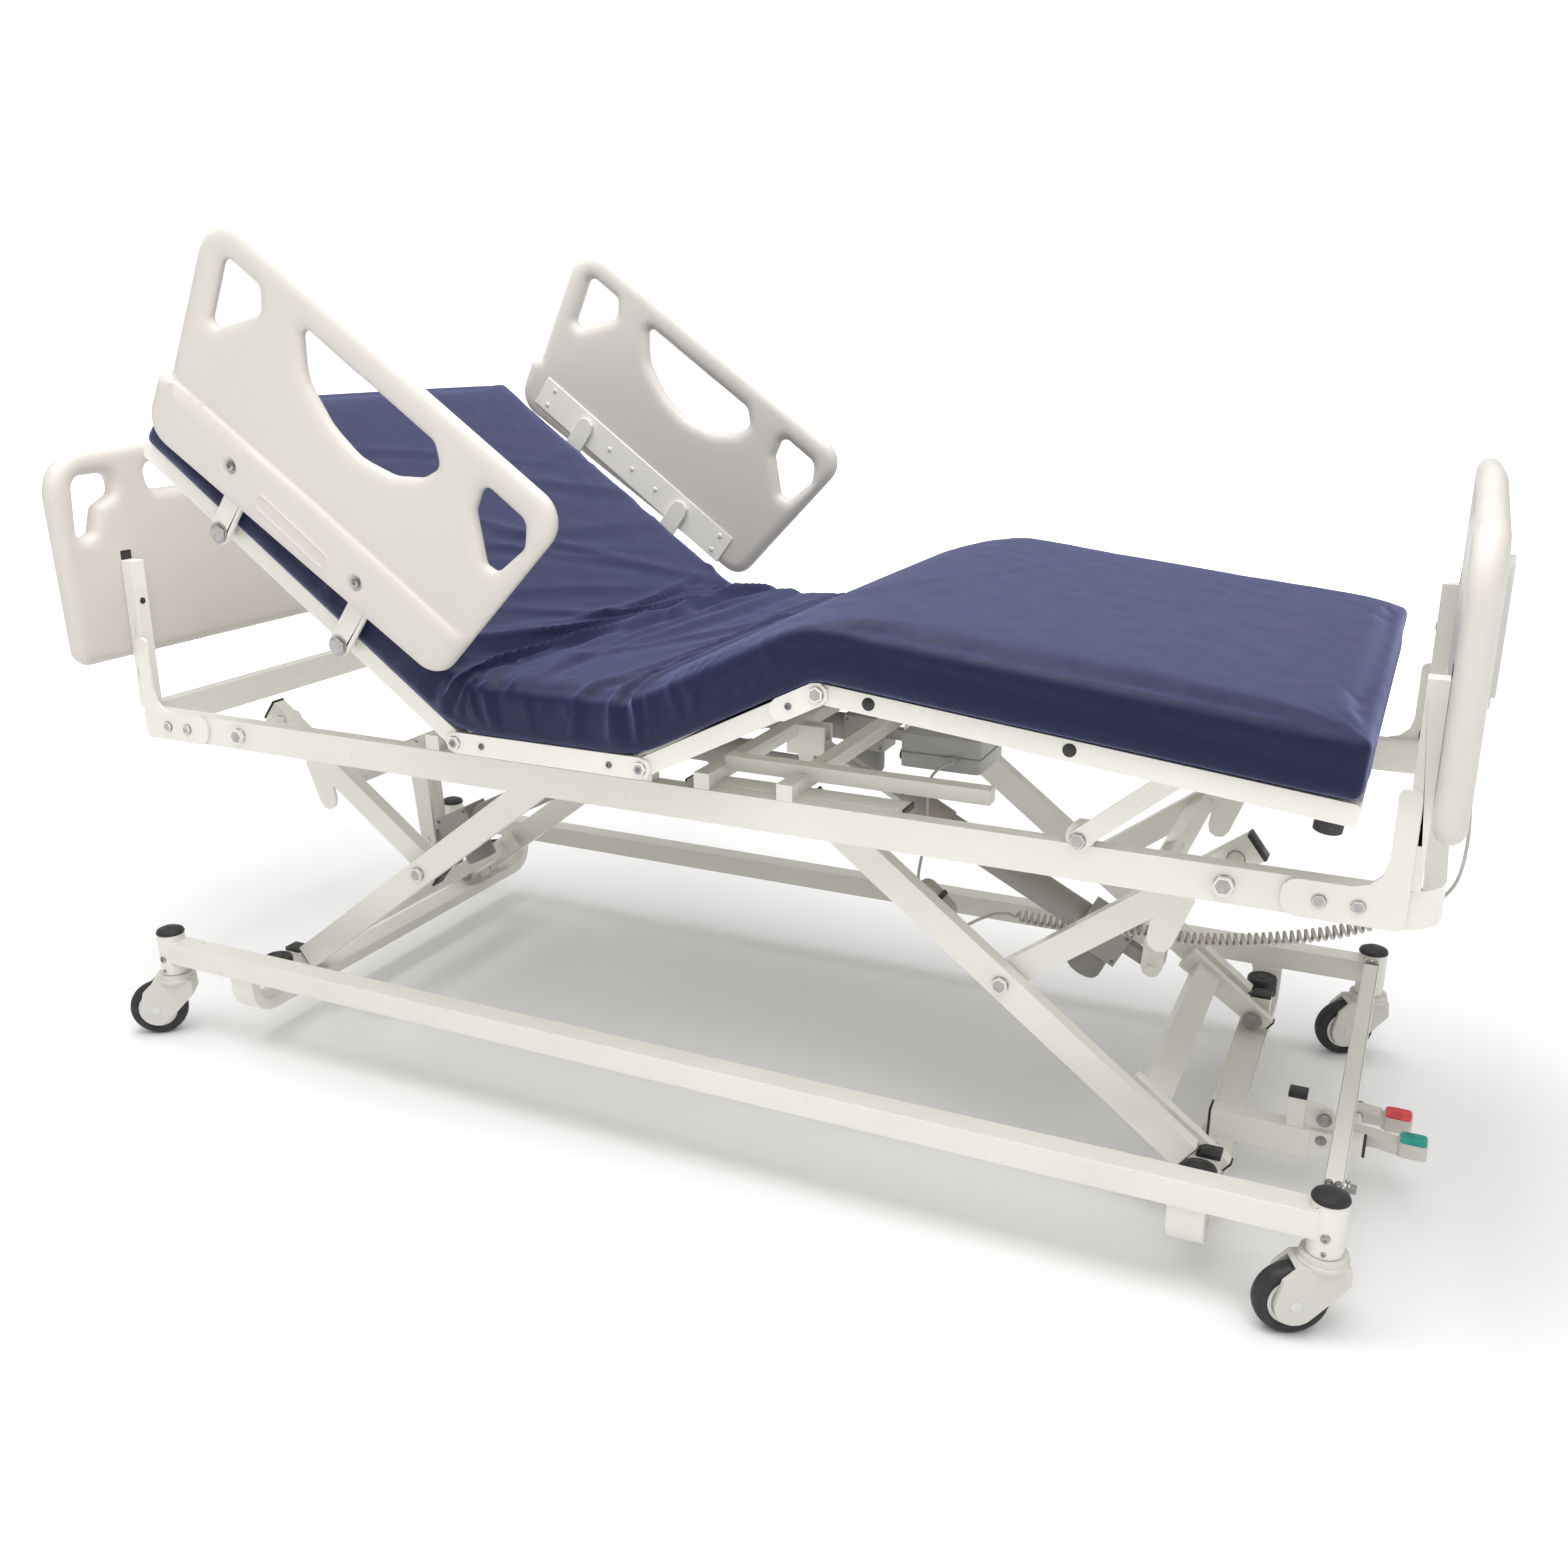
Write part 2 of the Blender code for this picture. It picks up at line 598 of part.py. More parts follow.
def hinge_pin(x):
    shapes = []
    for side in (-1, 1):
        shapes.append(rod("Y", (x, 0), 0.0065, *span((0.4195, 0.4440), side)))
        shapes.append(rod("Y", (x, 0), 0.0110, *span((0.4440, 0.4495), side), sides=6))
    return shapes


def seat_section(root):
    """The fixed part of the deck, which carries the back hinge and the thigh hinge."""
    level = pivot("seat_level", (0, 0, DECK_Z), root)
    x0, x1 = BACK_HINGE_X, THIGH_HINGE_X
    shapes = []
    for side in (-1, 1):
        shapes.append(box((x0 + 0.020, x1 - 0.020), span(DECK_Y, side), (-DECK_HALF_HEIGHT, DECK_HALF_HEIGHT)))
    for x in (x0 + 0.030, x1 - 0.055):
        shapes.append(box((x, x + 0.025), (-0.425, 0.425), (-0.006, 0.010)))
    shapes.append(box((x0 + 0.020, x1 - 0.020), (-0.425, 0.425), (0.007, 0.0115)))
    shapes += hinge_plates(((x0, 0), (x1, 0)), (x0 + 0.05, x1 - 0.05))
    shapes += hinge_pin(x0) + hinge_pin(x1)
    solid("seat_section", shapes, PAINT, level)
    return level


def crank(centre, root_points, pin, radius=0.013):
    """A pair of plates that hang under a section, for the eye of an actuator's rod."""
    plate = [*root_points, *arc(pin, radius, 180, 340, 5)]
    return [prism("Y", plate, *offset(centre, (0.0125, 0.0185), side)) for side in (-1, 1)]


def deck(root):
    seat = seat_section(root)
    back = pivot("back_pivot", (BACK_HINGE_X, 0, DECK_Z), root, BACK_ANGLE)
    back_crank = crank(BACK_Y, [(0.045, 0.003), (0.0235, 0.003), (-0.020, -0.028)], BACK_CRANK)
    deck_section("back_section", BACK_LENGTH, back, -1, (0.024, 0.250, 0.480, 0.680), back_crank)
    thigh = pivot("thigh_pivot", (THIGH_HINGE_X, 0, DECK_Z), root, -THIGH_ANGLE)
    knee = THIGH_LENGTH
    extras = crank(KNEE_Y, [(0.034, 0.003), (0.0235, 0.003), (-0.020, -0.030)], KNEE_CRANK)
    extras += hinge_plates(((knee - 0.060, 0), (knee, 0)), (knee - 0.045,)) + hinge_pin(knee)
    deck_section("thigh_section", knee - 0.020, thigh, 1, (0.024, knee - 0.050), extras)
    lift = math.radians(THIGH_ANGLE)
    knee_at = (THIGH_HINGE_X + knee * math.cos(lift), 0, DECK_Z + knee * math.sin(lift))
    foot = pivot("knee_pivot", knee_at, root, -FOOT_ANGLE)
    extras = []
    for side in (-1, 1):
        lug = capsule((LINK_TIP_ON_FOOT[0], 0.0), LINK_TIP_ON_FOOT, 0.014)
        extras.append(prism("Y", lug, *span((0.3770, 0.3830), side)))
        extras.append(rod("Z", (FOOT_LENGTH - 0.030, side * 0.405), 0.016, -0.034, 0.002))
    crossings = (0.024, 0.455, FOOT_LENGTH - 0.025)
    deck_section("foot_section", FOOT_LENGTH, foot, 1, crossings, extras)
    support_links(root, foot)
    mattress(seat, back, thigh, foot)
    return back


def support_links(root, foot):
    """The links that carry the foot section from the upper frame."""
    bpy.context.view_layer.update()
    tip = foot.matrix_local @ Vector((LINK_TIP_ON_FOOT[0], 0, LINK_TIP_ON_FOOT[1]))
    reach = (tip.x - LINK_PIVOT[0], tip.z - LINK_PIVOT[1])
    hinge = pivot("link_pivot", (LINK_PIVOT[0], 0, LINK_PIVOT[1]), root)
    for side_name, side in SIDES.items():
        shapes = [prism("Y", capsule((0, 0), reach, 0.0135), *span((0.3665, 0.3735), side))]
        shapes.append(rod("Y", (0, 0), 0.012, *span((0.3620, 0.3670), side)))
        shapes.append(rod("Y", (0, 0), 0.010, *span((0.3730, 0.3790), side), sides=6))
        shapes.append(rod("Y", reach, 0.010, *span((0.3730, 0.3765), side)))
        solid("support_link_" + side_name, shapes, PAINT, hinge)


def mattress(seat, back, thigh, foot):
    """Four foam blocks, mitred where the deck folds up so that they stay apart when it does."""
    low, high = MATTRESS_Z
    x0, x1 = BACK_HINGE_X, THIGH_HINGE_X
    knee = THIGH_LENGTH
    end = FOOT_LENGTH
    blocks = {
        "back": (back, -1, [(0.012, low), (BACK_LENGTH + 0.004, low), (BACK_LENGTH + 0.004, high), (0.070, high)]),
        "seat": (seat, 1, [(x0 + 0.012, low), (x1 - 0.010, low), (x1 - 0.036, high), (x0 + 0.070, high)]),
        "thigh": (thigh, 1, [(0.010, low), (knee - 0.004, low), (knee - 0.004, high), (0.036, high)]),
        "foot": (foot, 1, [(0.004, low), (end, low), (end, high), (0.004, high)]),
    }
    for name, (parent, extend, outline) in blocks.items():
        block = prism("Y", outline, -MATTRESS_HALF_WIDTH, MATTRESS_HALF_WIDTH)
        solid("mattress_" + name, [block], FABRIC, parent, extend=extend)


# Side rails


def panel_outline():
    corners = [(0.713, 0.427, 0.060), (0.003, 0.436, 0.045), (0.050, 0.098, 0.042)]
    corners += [(0.668, 0.070, 0.050), (0.682, 0.160, 0.014), (0.666, 0.178, 0.006)]
    return rounded(corners, 3)


def panel_holes():
    tall = [(0.660, 0.382, 0.014), (0.583, 0.382, 0.014), (0.563, 0.350, 0.016), (0.622, 0.282, 0.012)]
    tall.append((0.640, 0.286, 0.010))
    low = [(0.138, 0.388, 0.013), (0.056, 0.388, 0.020), (0.038, 0.355, 0.018), (0.055, 0.297, 0.014)]
    low += [(0.077, 0.294, 0.010), (0.130, 0.346, 0.016)]
    grip = [(0.500, 0.381, 0.010), (0.232, 0.384, 0.018), (0.206, 0.360, 0.014), (0.222, 0.330, 0.024)]
    grip += [(0.262, 0.301, 0.060), (0.325, 0.284, 0.080), (0.388, 0.292, 0.100), (0.458, 0.321, 0.070)]
    return [rounded(tall), rounded(grip), rounded(low)]


def side_rail(side_name, back):
    """A moulded panel on two swinging arms. The arms turn on the back section, and the panel on the arms."""
    side = SIDES[side_name]
    pins = []
    for which, s in zip(("lower", "upper"), RAIL_ARM_S):
        pin = pivot("rail_arm_pivot_%s_%s" % (side_name, which), (-s, 0, 0), back)
        pins.append(pin)
        bar = capsule((0, 0), (0, RAIL_ARM_LENGTH), 0.019)
        shapes = [prism("Y", bar, *span(RAIL_ARM_Y, side))]
        shapes.append(rod("Y", (0, 0), 0.010, *span((0.4388, 0.4610), side)))
        shapes.append(rod("Y", (0, 0), 0.013, *span((0.4670, 0.4716), side), sides=6))
        shapes.append(rod("Y", (0, RAIL_ARM_LENGTH), 0.012, *span((0.4670, 0.4716), side)))
        solid("rail_arm_%s_%s" % (side_name, which), shapes, PAINT, pin)
    hinge = pivot("rail_panel_pivot_" + side_name, (0, 0, RAIL_ARM_LENGTH), pins[0])
    shift = RAIL_ARM_S[0]

    def local(outline):
        return [(shift - s, n - RAIL_ARM_LENGTH) for s, n in outline]

    band = [(0.0580, 0.1000, 0.038), (0.6650, 0.0722, 0.048), (0.6788, 0.1590, 0.006), (0.6680, 0.1740, 0.004)]
    band.append((0.0445, 0.1860, 0.006))
    shapes = [prism("Y", local(panel_outline()), *span(PANEL_Y, side))]
    shapes.append(prism("Y", local(rounded(band, 3)), *span((PANEL_Y[1] - 0.004, BAND_Y), side)))
    for s in RAIL_ARM_S:
        shapes.append(rod("Y", (shift - s, 0), 0.011, *span((BAND_Y - 0.002, BAND_Y + 0.003), side), sides=10))
    cuts = [prism("Y", local(hole), *span((0.460, 0.520), side)) for hole in panel_holes()]
    solid("side_rail_" + side_name, shapes, PLASTIC, hinge, cuts)


# Actuators


def actuator(name, body_pin, rod_pin, centre, root, stroke_in, motor_radius=0.028):
    """A linear actuator from its body's rear pin to its rod's eye, built along local X."""
    run = Vector((rod_pin[0] - body_pin[0], rod_pin[1] - body_pin[1]))
    extend = 1 if run.x > 0 else -1
    lift = math.degrees(math.asin(run.y / run.length))
    hinge = pivot(name + "_pivot", (body_pin[0], centre, body_pin[1]), root, -extend * lift)
    reach = run.length
    front = reach - stroke_in - 0.045
    shapes = [
        rod("Y", (0, 0), 0.0125, -0.0105, 0.0105, 14),
        box((0.006, 0.058), (-0.0098, 0.0098), (-0.0100, 0.0100)),
        box((0.048, 0.126), (-0.031, 0.031), (-0.030, 0.030)),
        rod("Z", (0.087, 0), motor_radius, -0.074, -0.020, 12),
        rod("X", (0, 0), 0.024, 0.118, front, 12),
        rod("X", (0, 0), 0.0275, front - 0.075, front + 0.004, 12),
    ]
    cuts = [
        rod("Y", (0, 0), 0.0066, -0.02, 0.02),
        rod("X", (0, 0), 0.0128, 0.132, front + 0.02),
    ]
    solid(name + "_body", shapes, MOTOR, hinge, cuts, extend)
    shapes = [
        rod("X", (0, 0), 0.0120, 0.136 + stroke_in, reach - 0.006),
        rod("Y", (reach, 0), 0.0115, -0.0095, 0.0095),
    ]
    solid(name + "_rod", shapes, CHROME, hinge, extend=extend)


def actuators(root, back):
    bpy.context.view_layer.update()
    for end_name, end in ENDS.items():
        body = (end * LIFT_BODY_PIN[0], LIFT_BODY_PIN[1])
        tip = (end * LIFT_ROD_PIN[0], LIFT_ROD_PIN[1])
        actuator(end_name + "_lift_actuator", body, tip, LIFT_Y, root, 0.132)
    tip = back.matrix_local @ Vector((-BACK_CRANK[0], 0, BACK_CRANK[1]))
    actuator("back_actuator", BACK_BODY_PIN, (tip.x, tip.z), BACK_Y, root, 0.085)
    thigh = bpy.data.objects["thigh_pivot"]
    tip = thigh.matrix_local @ Vector((KNEE_CRANK[0], 0, KNEE_CRANK[1]))
    actuator("knee_actuator", KNEE_BODY_PIN, (tip.x, tip.z), KNEE_Y, root, 0.075)


# Controls


def control_box(root):
    body = rounded([(0.235, 0.046, 0.008), (0.375, 0.046, 0.008), (0.375, 0.176, 0.008), (0.235, 0.176, 0.008)])
    shapes = [prism("Z", body, FRAME_Z - 0.031, FRAME_Z + 0.0265)]
    shapes.append(rod("Y", (0.330, FRAME_Z - 0.008), 0.007, 0.030, 0.050))
    solid("control_box", shapes, MOTOR, root)


def handset(root):
    """The hand control, hung on the outside of the footboard, with three rocker switches."""
    x0 = BOARD_X[1] + 0.0006
    low, high = HANDSET_Z
    face = rounded([(-0.024, low, 0.010), (0.024, low, 0.010), (0.029, high, 0.014), (-0.029, high, 0.014)])
    shapes = [prism("X", face, x0, x0 + 0.022)]
    shapes.append(rod("Z", (x0 + 0.011, 0), 0.0065, low - 0.020, low + 0.004))
    cuts = []
    heights = [high - 0.045 - 0.042 * i for i in range(3)]
    for z in heights:
        cuts.append(box((x0 + 0.014, x0 + 0.03), (-0.0175, 0.0175), (z - 0.0135, z + 0.0135)))
    solid("handset", shapes, HANDSET, root, cuts)
    for name, z in zip(("lift", "back", "knee"), heights):
        hinge = pivot(name + "_rocker_pivot", (x0 + 0.0175, 0, z), root)
        rocker = [(-0.0015, -0.0125), (0.0052, -0.0125), (0.0038, 0.0), (0.0052, 0.0125), (-0.0015, 0.0125)]
        solid(name + "_rocker", [prism("Y", rocker, -0.0165, 0.0165)], ROCKER, hinge)


def hand_cord(root):
    """The hand control's cord: a lead, a tied hank, a lead, the curly stretch and the tail."""
    box_lead = [(0.330, 0.0297, 0.5645), (0.330, 0.010, 0.566), (0.332, -0.040, 0.572), (0.336, -0.095, 0.566),
                (0.344, -0.125, 0.530), (0.356, -0.135, 0.480), (0.370, -0.140, 0.430), (0.376, -0.1500, 0.4160),
                (0.376, -0.1620, 0.4150), (0.376, -0.1794, 0.4150)]
    tube("cord_box_lead", smooth(box_lead, 2), CORD_RADIUS, CORD, root)
    hank = capsule((0.372, 0.430), (0.404, 0.400), 0.016)
    solid("cord_hank", [prism("Y", hank, -0.212, -0.180)], CORD, root)
    middle_lead = [(0.4206, -0.196, 0.4000), (0.432, -0.196, 0.4000), (0.455, -0.197, 0.4080),
                   (0.480, -0.199, 0.4150), (0.4990, -0.200, 0.4150)]
    tube("cord_middle_lead", smooth(middle_lead, 2), CORD_RADIUS, CORD, root)
    curl = [(0.500, -0.200, 0.415), (0.570, -0.200, 0.413), (0.640, -0.200, 0.418), (0.700, -0.200, 0.4235),
            (0.770, -0.200, 0.4235), (0.860, -0.200, 0.440), (0.950, -0.198, 0.466), (1.020, -0.190, 0.497)]
    tube("cord_curl", smooth(curl, 2), CURL_RADIUS, CORD, root)
    x = BOARD_X[1] + 0.0116
    tail = [(1.0212, -0.1899, 0.4975), (1.034, -0.1885, 0.5031), (1.055, -0.172, 0.513), (1.078, -0.140, 0.518),
            (1.094, -0.100, 0.535), (x + 0.003, -0.058, 0.575), (x, -0.026, 0.630), (x, -0.008, 0.690),
            (x, 0.000, 0.7447)]
    tube("cord_tail", smooth(tail, 2), CORD_RADIUS, CORD, root)


# Build

for old in list(bpy.data.objects):
    bpy.data.objects.remove(old)

PAINT = material("cream paint", (0.86, 0.85, 0.78), 0.35)
PLASTIC = material("cream plastic", (0.83, 0.81, 0.76), 0.45)
HOOD = material("caster hood plastic", (0.72, 0.71, 0.67), 0.45)
RUBBER = material("black rubber", (0.03, 0.03, 0.035), 0.7)
FABRIC = material("navy nylon", (0.035, 0.045, 0.13), 0.6)
MOTOR = material("grey plastic", (0.42, 0.40, 0.38), 0.45)
CHROME = material("steel rod", (0.62, 0.61, 0.59), 0.25, 0.9)
HANDSET = material("pale grey plastic", (0.68, 0.68, 0.66), 0.45)
ROCKER = material("dark grey plastic", (0.16, 0.17, 0.19), 0.5)
CORD = material("grey cord", (0.50, 0.48, 0.45), 0.5)

bed = pivot("bed", (CENTRE_X, 0, 0), None)
for one_side in SIDES:
    base_rail(one_side, bed)
for one_end in ENDS:
    base_cross(one_end, bed)
    lift_leg(one_end, bed)
    lift_arm(one_end, bed)
    board(one_end, bed)
    for one_side in SIDES:
        board_bracket(one_end, one_side, bed)
        caster(one_side + "_" + one_end, bed)
foot_end_bar(bed)
pedal("steer", 0.076, bed)
pedal("brake", 0.053, bed)
upper_frame(bed)
back_pivot = deck(bed)
for one_side in SIDES:
    side_rail(one_side, back_pivot)
actuators(bed, back_pivot)
control_box(bed)
handset(bed)
hand_cord(bed)
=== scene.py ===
"""Looks of the adjustable hospital bed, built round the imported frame. Metres, +Z up, head end at -X."""

import math
import re

import bmesh
import bpy
import numpy as np
from mathutils import Matrix, Vector, geometry


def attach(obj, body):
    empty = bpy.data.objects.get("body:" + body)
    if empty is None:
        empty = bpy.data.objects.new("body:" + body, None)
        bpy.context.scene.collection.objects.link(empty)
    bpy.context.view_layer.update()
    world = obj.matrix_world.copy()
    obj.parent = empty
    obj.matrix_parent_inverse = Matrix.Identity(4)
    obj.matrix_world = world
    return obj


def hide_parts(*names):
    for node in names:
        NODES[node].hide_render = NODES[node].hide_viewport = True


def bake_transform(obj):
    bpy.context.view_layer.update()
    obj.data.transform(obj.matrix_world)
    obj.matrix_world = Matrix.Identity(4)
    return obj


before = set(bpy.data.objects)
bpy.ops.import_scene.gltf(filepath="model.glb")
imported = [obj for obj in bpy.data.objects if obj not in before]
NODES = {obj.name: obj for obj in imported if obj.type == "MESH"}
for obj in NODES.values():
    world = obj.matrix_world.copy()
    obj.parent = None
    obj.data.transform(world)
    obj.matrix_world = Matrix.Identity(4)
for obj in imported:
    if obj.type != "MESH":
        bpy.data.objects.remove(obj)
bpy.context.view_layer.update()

# Sizes shared with the frame, in the bed's own X. BED_X takes that X into the row frame.
BED_X = -0.01165
POST = (0.995, 0.413)
PIVOT_X = 0.822
PIN_Z = 0.112
FRAME_Z = 0.572551
LEG_LENGTH = 0.760
LIFT_ANGLE = 37.3
DECK_Z = 0.645
BACK_HINGE = (-0.299, DECK_Z)
THIGH_HINGE = (0.023, DECK_Z)
BACK_ANGLE, THIGH_ANGLE, FOOT_ANGLE = 36.1, 26.8, -6.3
BACK_LENGTH, THIGH_LENGTH, FOOT_LENGTH = 0.705, 0.305, 0.680
KNEE = (
    THIGH_HINGE[0] + THIGH_LENGTH * math.cos(math.radians(THIGH_ANGLE)),
    DECK_Z + THIGH_LENGTH * math.sin(math.radians(THIGH_ANGLE)),
)
MATTRESS_HALF = 0.455
MATTRESS_N = (0.0175, 0.097)
RAIL_ARM_S = (0.232, 0.500)
RAIL_ARM_LENGTH = 0.132
LINK_PIVOT = (0.636, 0.607)
LINK_TIP_ON_FOOT = (0.468, -0.020)
CONTROL_LEVELS = (0.910, 0.868, 0.826)
HANDSET_X = 1.0856
CASTER_YAW = {"near_head": 215, "far_head": 200, "near_foot": 205, "far_foot": 205}
SIDES = {"near": -1, "far": 1}
ENDS = {"head": -1, "foot": 1}


def placed(x=0.0, y=0.0, z=0.0, pitch=0.0, yaw=0.0):
    """A local frame in the row frame: at a point of the bed, turned about Z and then Y, in degrees."""
    turn = Matrix.Rotation(math.radians(yaw), 4, "Z") @ Matrix.Rotation(math.radians(pitch), 4, "Y")
    return Matrix.Translation((x + BED_X, y, z)) @ turn


BED = placed()
BACK = placed(BACK_HINGE[0], 0, BACK_HINGE[1], BACK_ANGLE)
THIGH = placed(THIGH_HINGE[0], 0, THIGH_HINGE[1], -THIGH_ANGLE)
FOOT = placed(KNEE[0], 0, KNEE[1], -FOOT_ANGLE)
FOOT_IN_BED = BED.inverted() @ FOOT


def in_scene(name, data):
    """A new object of the scene."""
    made = bpy.data.objects.new(name, data)
    bpy.context.scene.collection.objects.link(made)
    return made


# Camera

CAMERA_AT = (1.027 + BED_X, -2.123, 1.242)
AZIMUTH, ELEVATION = math.radians(-24.87), math.radians(-17.66)
LENS_MM, SENSOR_MM = 32.9212, 36.0

camera = in_scene("camera", bpy.data.cameras.new("camera"))
bpy.context.scene.camera = camera
level = math.cos(ELEVATION)
ahead = Vector((math.sin(AZIMUTH) * level, math.cos(AZIMUTH) * level, math.sin(ELEVATION)))
camera.location = CAMERA_AT
camera.rotation_euler = ahead.to_track_quat("-Z", "Y").to_euler()
camera.data.sensor_width = SENSOR_MM
camera.data.lens = LENS_MM
camera.data.clip_start, camera.data.clip_end = 0.05, 100

# Materials


def filled(node, values):
    """Sets a node's inputs by name."""
    for key, value in values.items():
        node.inputs[key].default_value = value
    return node


class Nodes:
    """A material's node tree, with short calls for the nodes that every finish uses."""

    def __init__(self, name, colour, roughness, metallic=0.0):
        self.material = bpy.data.materials.new(name)
        self.material.use_nodes = True
        self.tree = self.material.node_tree
        self.shader = self.tree.nodes["Principled BSDF"]
        filled(self.shader, {"Base Color": (*colour, 1), "Roughness": roughness, "Metallic": metallic})
        self.place = self.add("TexCoord", {}).outputs["Object"]
        self.bump = None

    def add(self, kind, values, **settings):
        node = self.tree.nodes.new("ShaderNode" + kind)
        for key, value in settings.items():
            setattr(node, key, value)
        return filled(node, values)

    def link(self, out, into):
        self.tree.links.new(out, into)

    def noise(self, scale, detail=3.0, rough=0.55, stretch=None):
        node = self.add("TexNoise", {"Scale": scale, "Detail": detail, "Roughness": rough})
        self.link(self.stretched(stretch), node.inputs["Vector"])
        return node.outputs["Fac"]

    def stretched(self, stretch):
        if stretch is None:
            return self.place
        node = self.add("Mapping", {"Scale": stretch})
        self.link(self.place, node.inputs["Vector"])
        return node.outputs["Vector"]

    def wave(self, scale, axis, distortion):
        node = self.add("TexWave", {"Scale": scale, "Distortion": distortion}, bands_direction=axis)
        self.link(self.place, node.inputs["Vector"])
        return node.outputs["Fac"]

    def spread(self, value, low, high, source=(0.3, 0.7)):
        limits = {"From Min": source[0], "From Max": source[1], "To Min": low, "To Max": high}
        node = self.add("MapRange", limits)
        self.link(value, node.inputs["Value"])
        return node.outputs["Result"]

    def ramp(self, value, first, last, source=(0.3, 0.7)):
        node = self.add("ValToRGB", {})
        node.color_ramp.elements[0].position, node.color_ramp.elements[1].position = source
        node.color_ramp.elements[0].color = (*first, 1)
        node.color_ramp.elements[1].color = (*last, 1)
        self.link(value, node.inputs["Fac"])
        return node.outputs["Color"]

    def mix(self, share, first, last):
        node = self.add("Mix", {}, data_type="RGBA")
        self.link(share, node.inputs[0])
        for socket, value in ((node.inputs[6], first), (node.inputs[7], last)):
            if isinstance(value, tuple):
                socket.default_value = (*value, 1)
            else:
                self.link(value, socket)
        return node.outputs[2]

    def colour(self, out):
        self.link(out, self.shader.inputs["Base Color"])

    def roughness(self, out):
        self.link(out, self.shader.inputs["Roughness"])

    def raise_by(self, height, distance, strength=1.0):
        """Adds one more layer of bump over the ones before it."""
        node = self.add("Bump", {"Distance": distance, "Strength": strength})
        self.link(height, node.inputs["Height"])
        if self.bump:
            self.link(self.bump, node.inputs["Normal"])
        self.bump = node.outputs["Normal"]
        self.link(self.bump, self.shader.inputs["Normal"])

    def painted_edge_highlight(self, colour, highlit):
        # Painted highlight: where pointiness finds a convex edge, the colour is mixed towards a lighter one.
        pointy = self.add("NewGeometry", {}).outputs["Pointiness"]
        return self.mix(self.spread(pointy, 0.0, 1.0, (0.53, 0.60)), colour, highlit)


def darker(colour, share):
    return tuple(c * share for c in colour)


def painted(name, colour, roughness=0.32):
    """Powder-coated steel: faint orange peel, a little uneven gloss, and a painted highlight that lightens
    the convex edges.
    """
    n = Nodes(name, colour, roughness)
    tint = n.ramp(n.noise(5.0, 4), darker(colour, 0.93), colour)
    # Convex edges are painted 3% lighter as a painted highlight.
    n.colour(n.painted_edge_highlight(tint, darker(colour, 1.03)))
    n.roughness(n.spread(n.noise(38.0, 4), roughness - 0.05, roughness + 0.12))
    n.raise_by(n.noise(420.0, 2), 0.00025, 0.35)
    n.raise_by(n.noise(9.0, 2), 0.0012, 0.15)
    filled(n.shader, {"Coat Weight": 0.15, "Coat Roughness": 0.2})
    return n.material


def moulded_plastic(name, colour, roughness=0.42, grain=900.0):
    """Blow-moulded plastic: fine texture, slow waves in the wall and a soft sheen."""
    n = Nodes(name, colour, roughness)
    n.colour(n.ramp(n.noise(3.5, 5), darker(colour, 0.95), colour))
    n.roughness(n.spread(n.noise(30.0, 4), roughness - 0.06, roughness + 0.10))
    n.raise_by(n.noise(grain, 2, 0.6), 0.0002, 0.45)
    n.raise_by(n.noise(11.0, 2), 0.0015, 0.16)
    return n.material


def rubber(name, colour=(0.018, 0.018, 0.020), roughness=0.62):
    """Matt rubber or soft plastic, with lighter specks of dust."""
    n = Nodes(name, colour, roughness)
    n.colour(n.ramp(n.noise(60.0, 5), colour, tuple(c * 1.9 + 0.004 for c in colour), (0.45, 0.8)))
    n.roughness(n.spread(n.noise(90.0, 4), roughness - 0.12, roughness + 0.12))
    n.raise_by(n.noise(650.0, 3), 0.0003, 0.5)
    return n.material


def zinc(name, colour=(0.43, 0.42, 0.41), roughness=0.30, brushed=(1, 1, 1)):
    """Bare or plated steel, mottled or brushed one way."""
    n = Nodes(name, colour, roughness, 1.0)
    n.colour(n.ramp(n.noise(120.0, 4, stretch=brushed), darker(colour, 0.72), colour))
    n.roughness(n.spread(n.noise(240.0, 4, stretch=brushed), roughness - 0.08, roughness + 0.14))
    n.raise_by(n.noise(500.0, 3, stretch=brushed), 0.0002, 0.3)
    return n.material


def nylon(name):
    """Coated nylon ticking: a fine plain weave, a dull sheen and slight shade changes."""
    colour = (0.007, 0.009, 0.036)
    n = Nodes(name, colour, 0.55)
    tint = n.ramp(n.noise(7.0, 5), darker(colour, 0.92), darker(colour, 1.07))
    warp, weft = n.wave(330.0, "X", 0.4), n.wave(330.0, "Y", 0.4)
    weave = n.add("Math", {}, operation="MULTIPLY")
    n.link(warp, weave.inputs[0])
    n.link(weft, weave.inputs[1])
    woven = n.mix(n.spread(weave.outputs[0], 0.0, 0.35, (0.0, 1.0)), tint, (0.014, 0.017, 0.058))
    n.colour(woven)
    n.roughness(n.spread(n.noise(22.0, 5), 0.40, 0.60))
    n.raise_by(weave.outputs[0], 0.0004, 0.35)
    n.raise_by(n.noise(60.0, 4, stretch=(1.0, 0.35, 1.0)), 0.0012, 0.18)
    filled(n.shader, {"Specular IOR Level": 0.20, "Sheen Tint": (0.42, 0.46, 0.88, 1)})
    filled(n.shader, {"Sheen Weight": 0.62, "Sheen Roughness": 0.42})
    return n.material


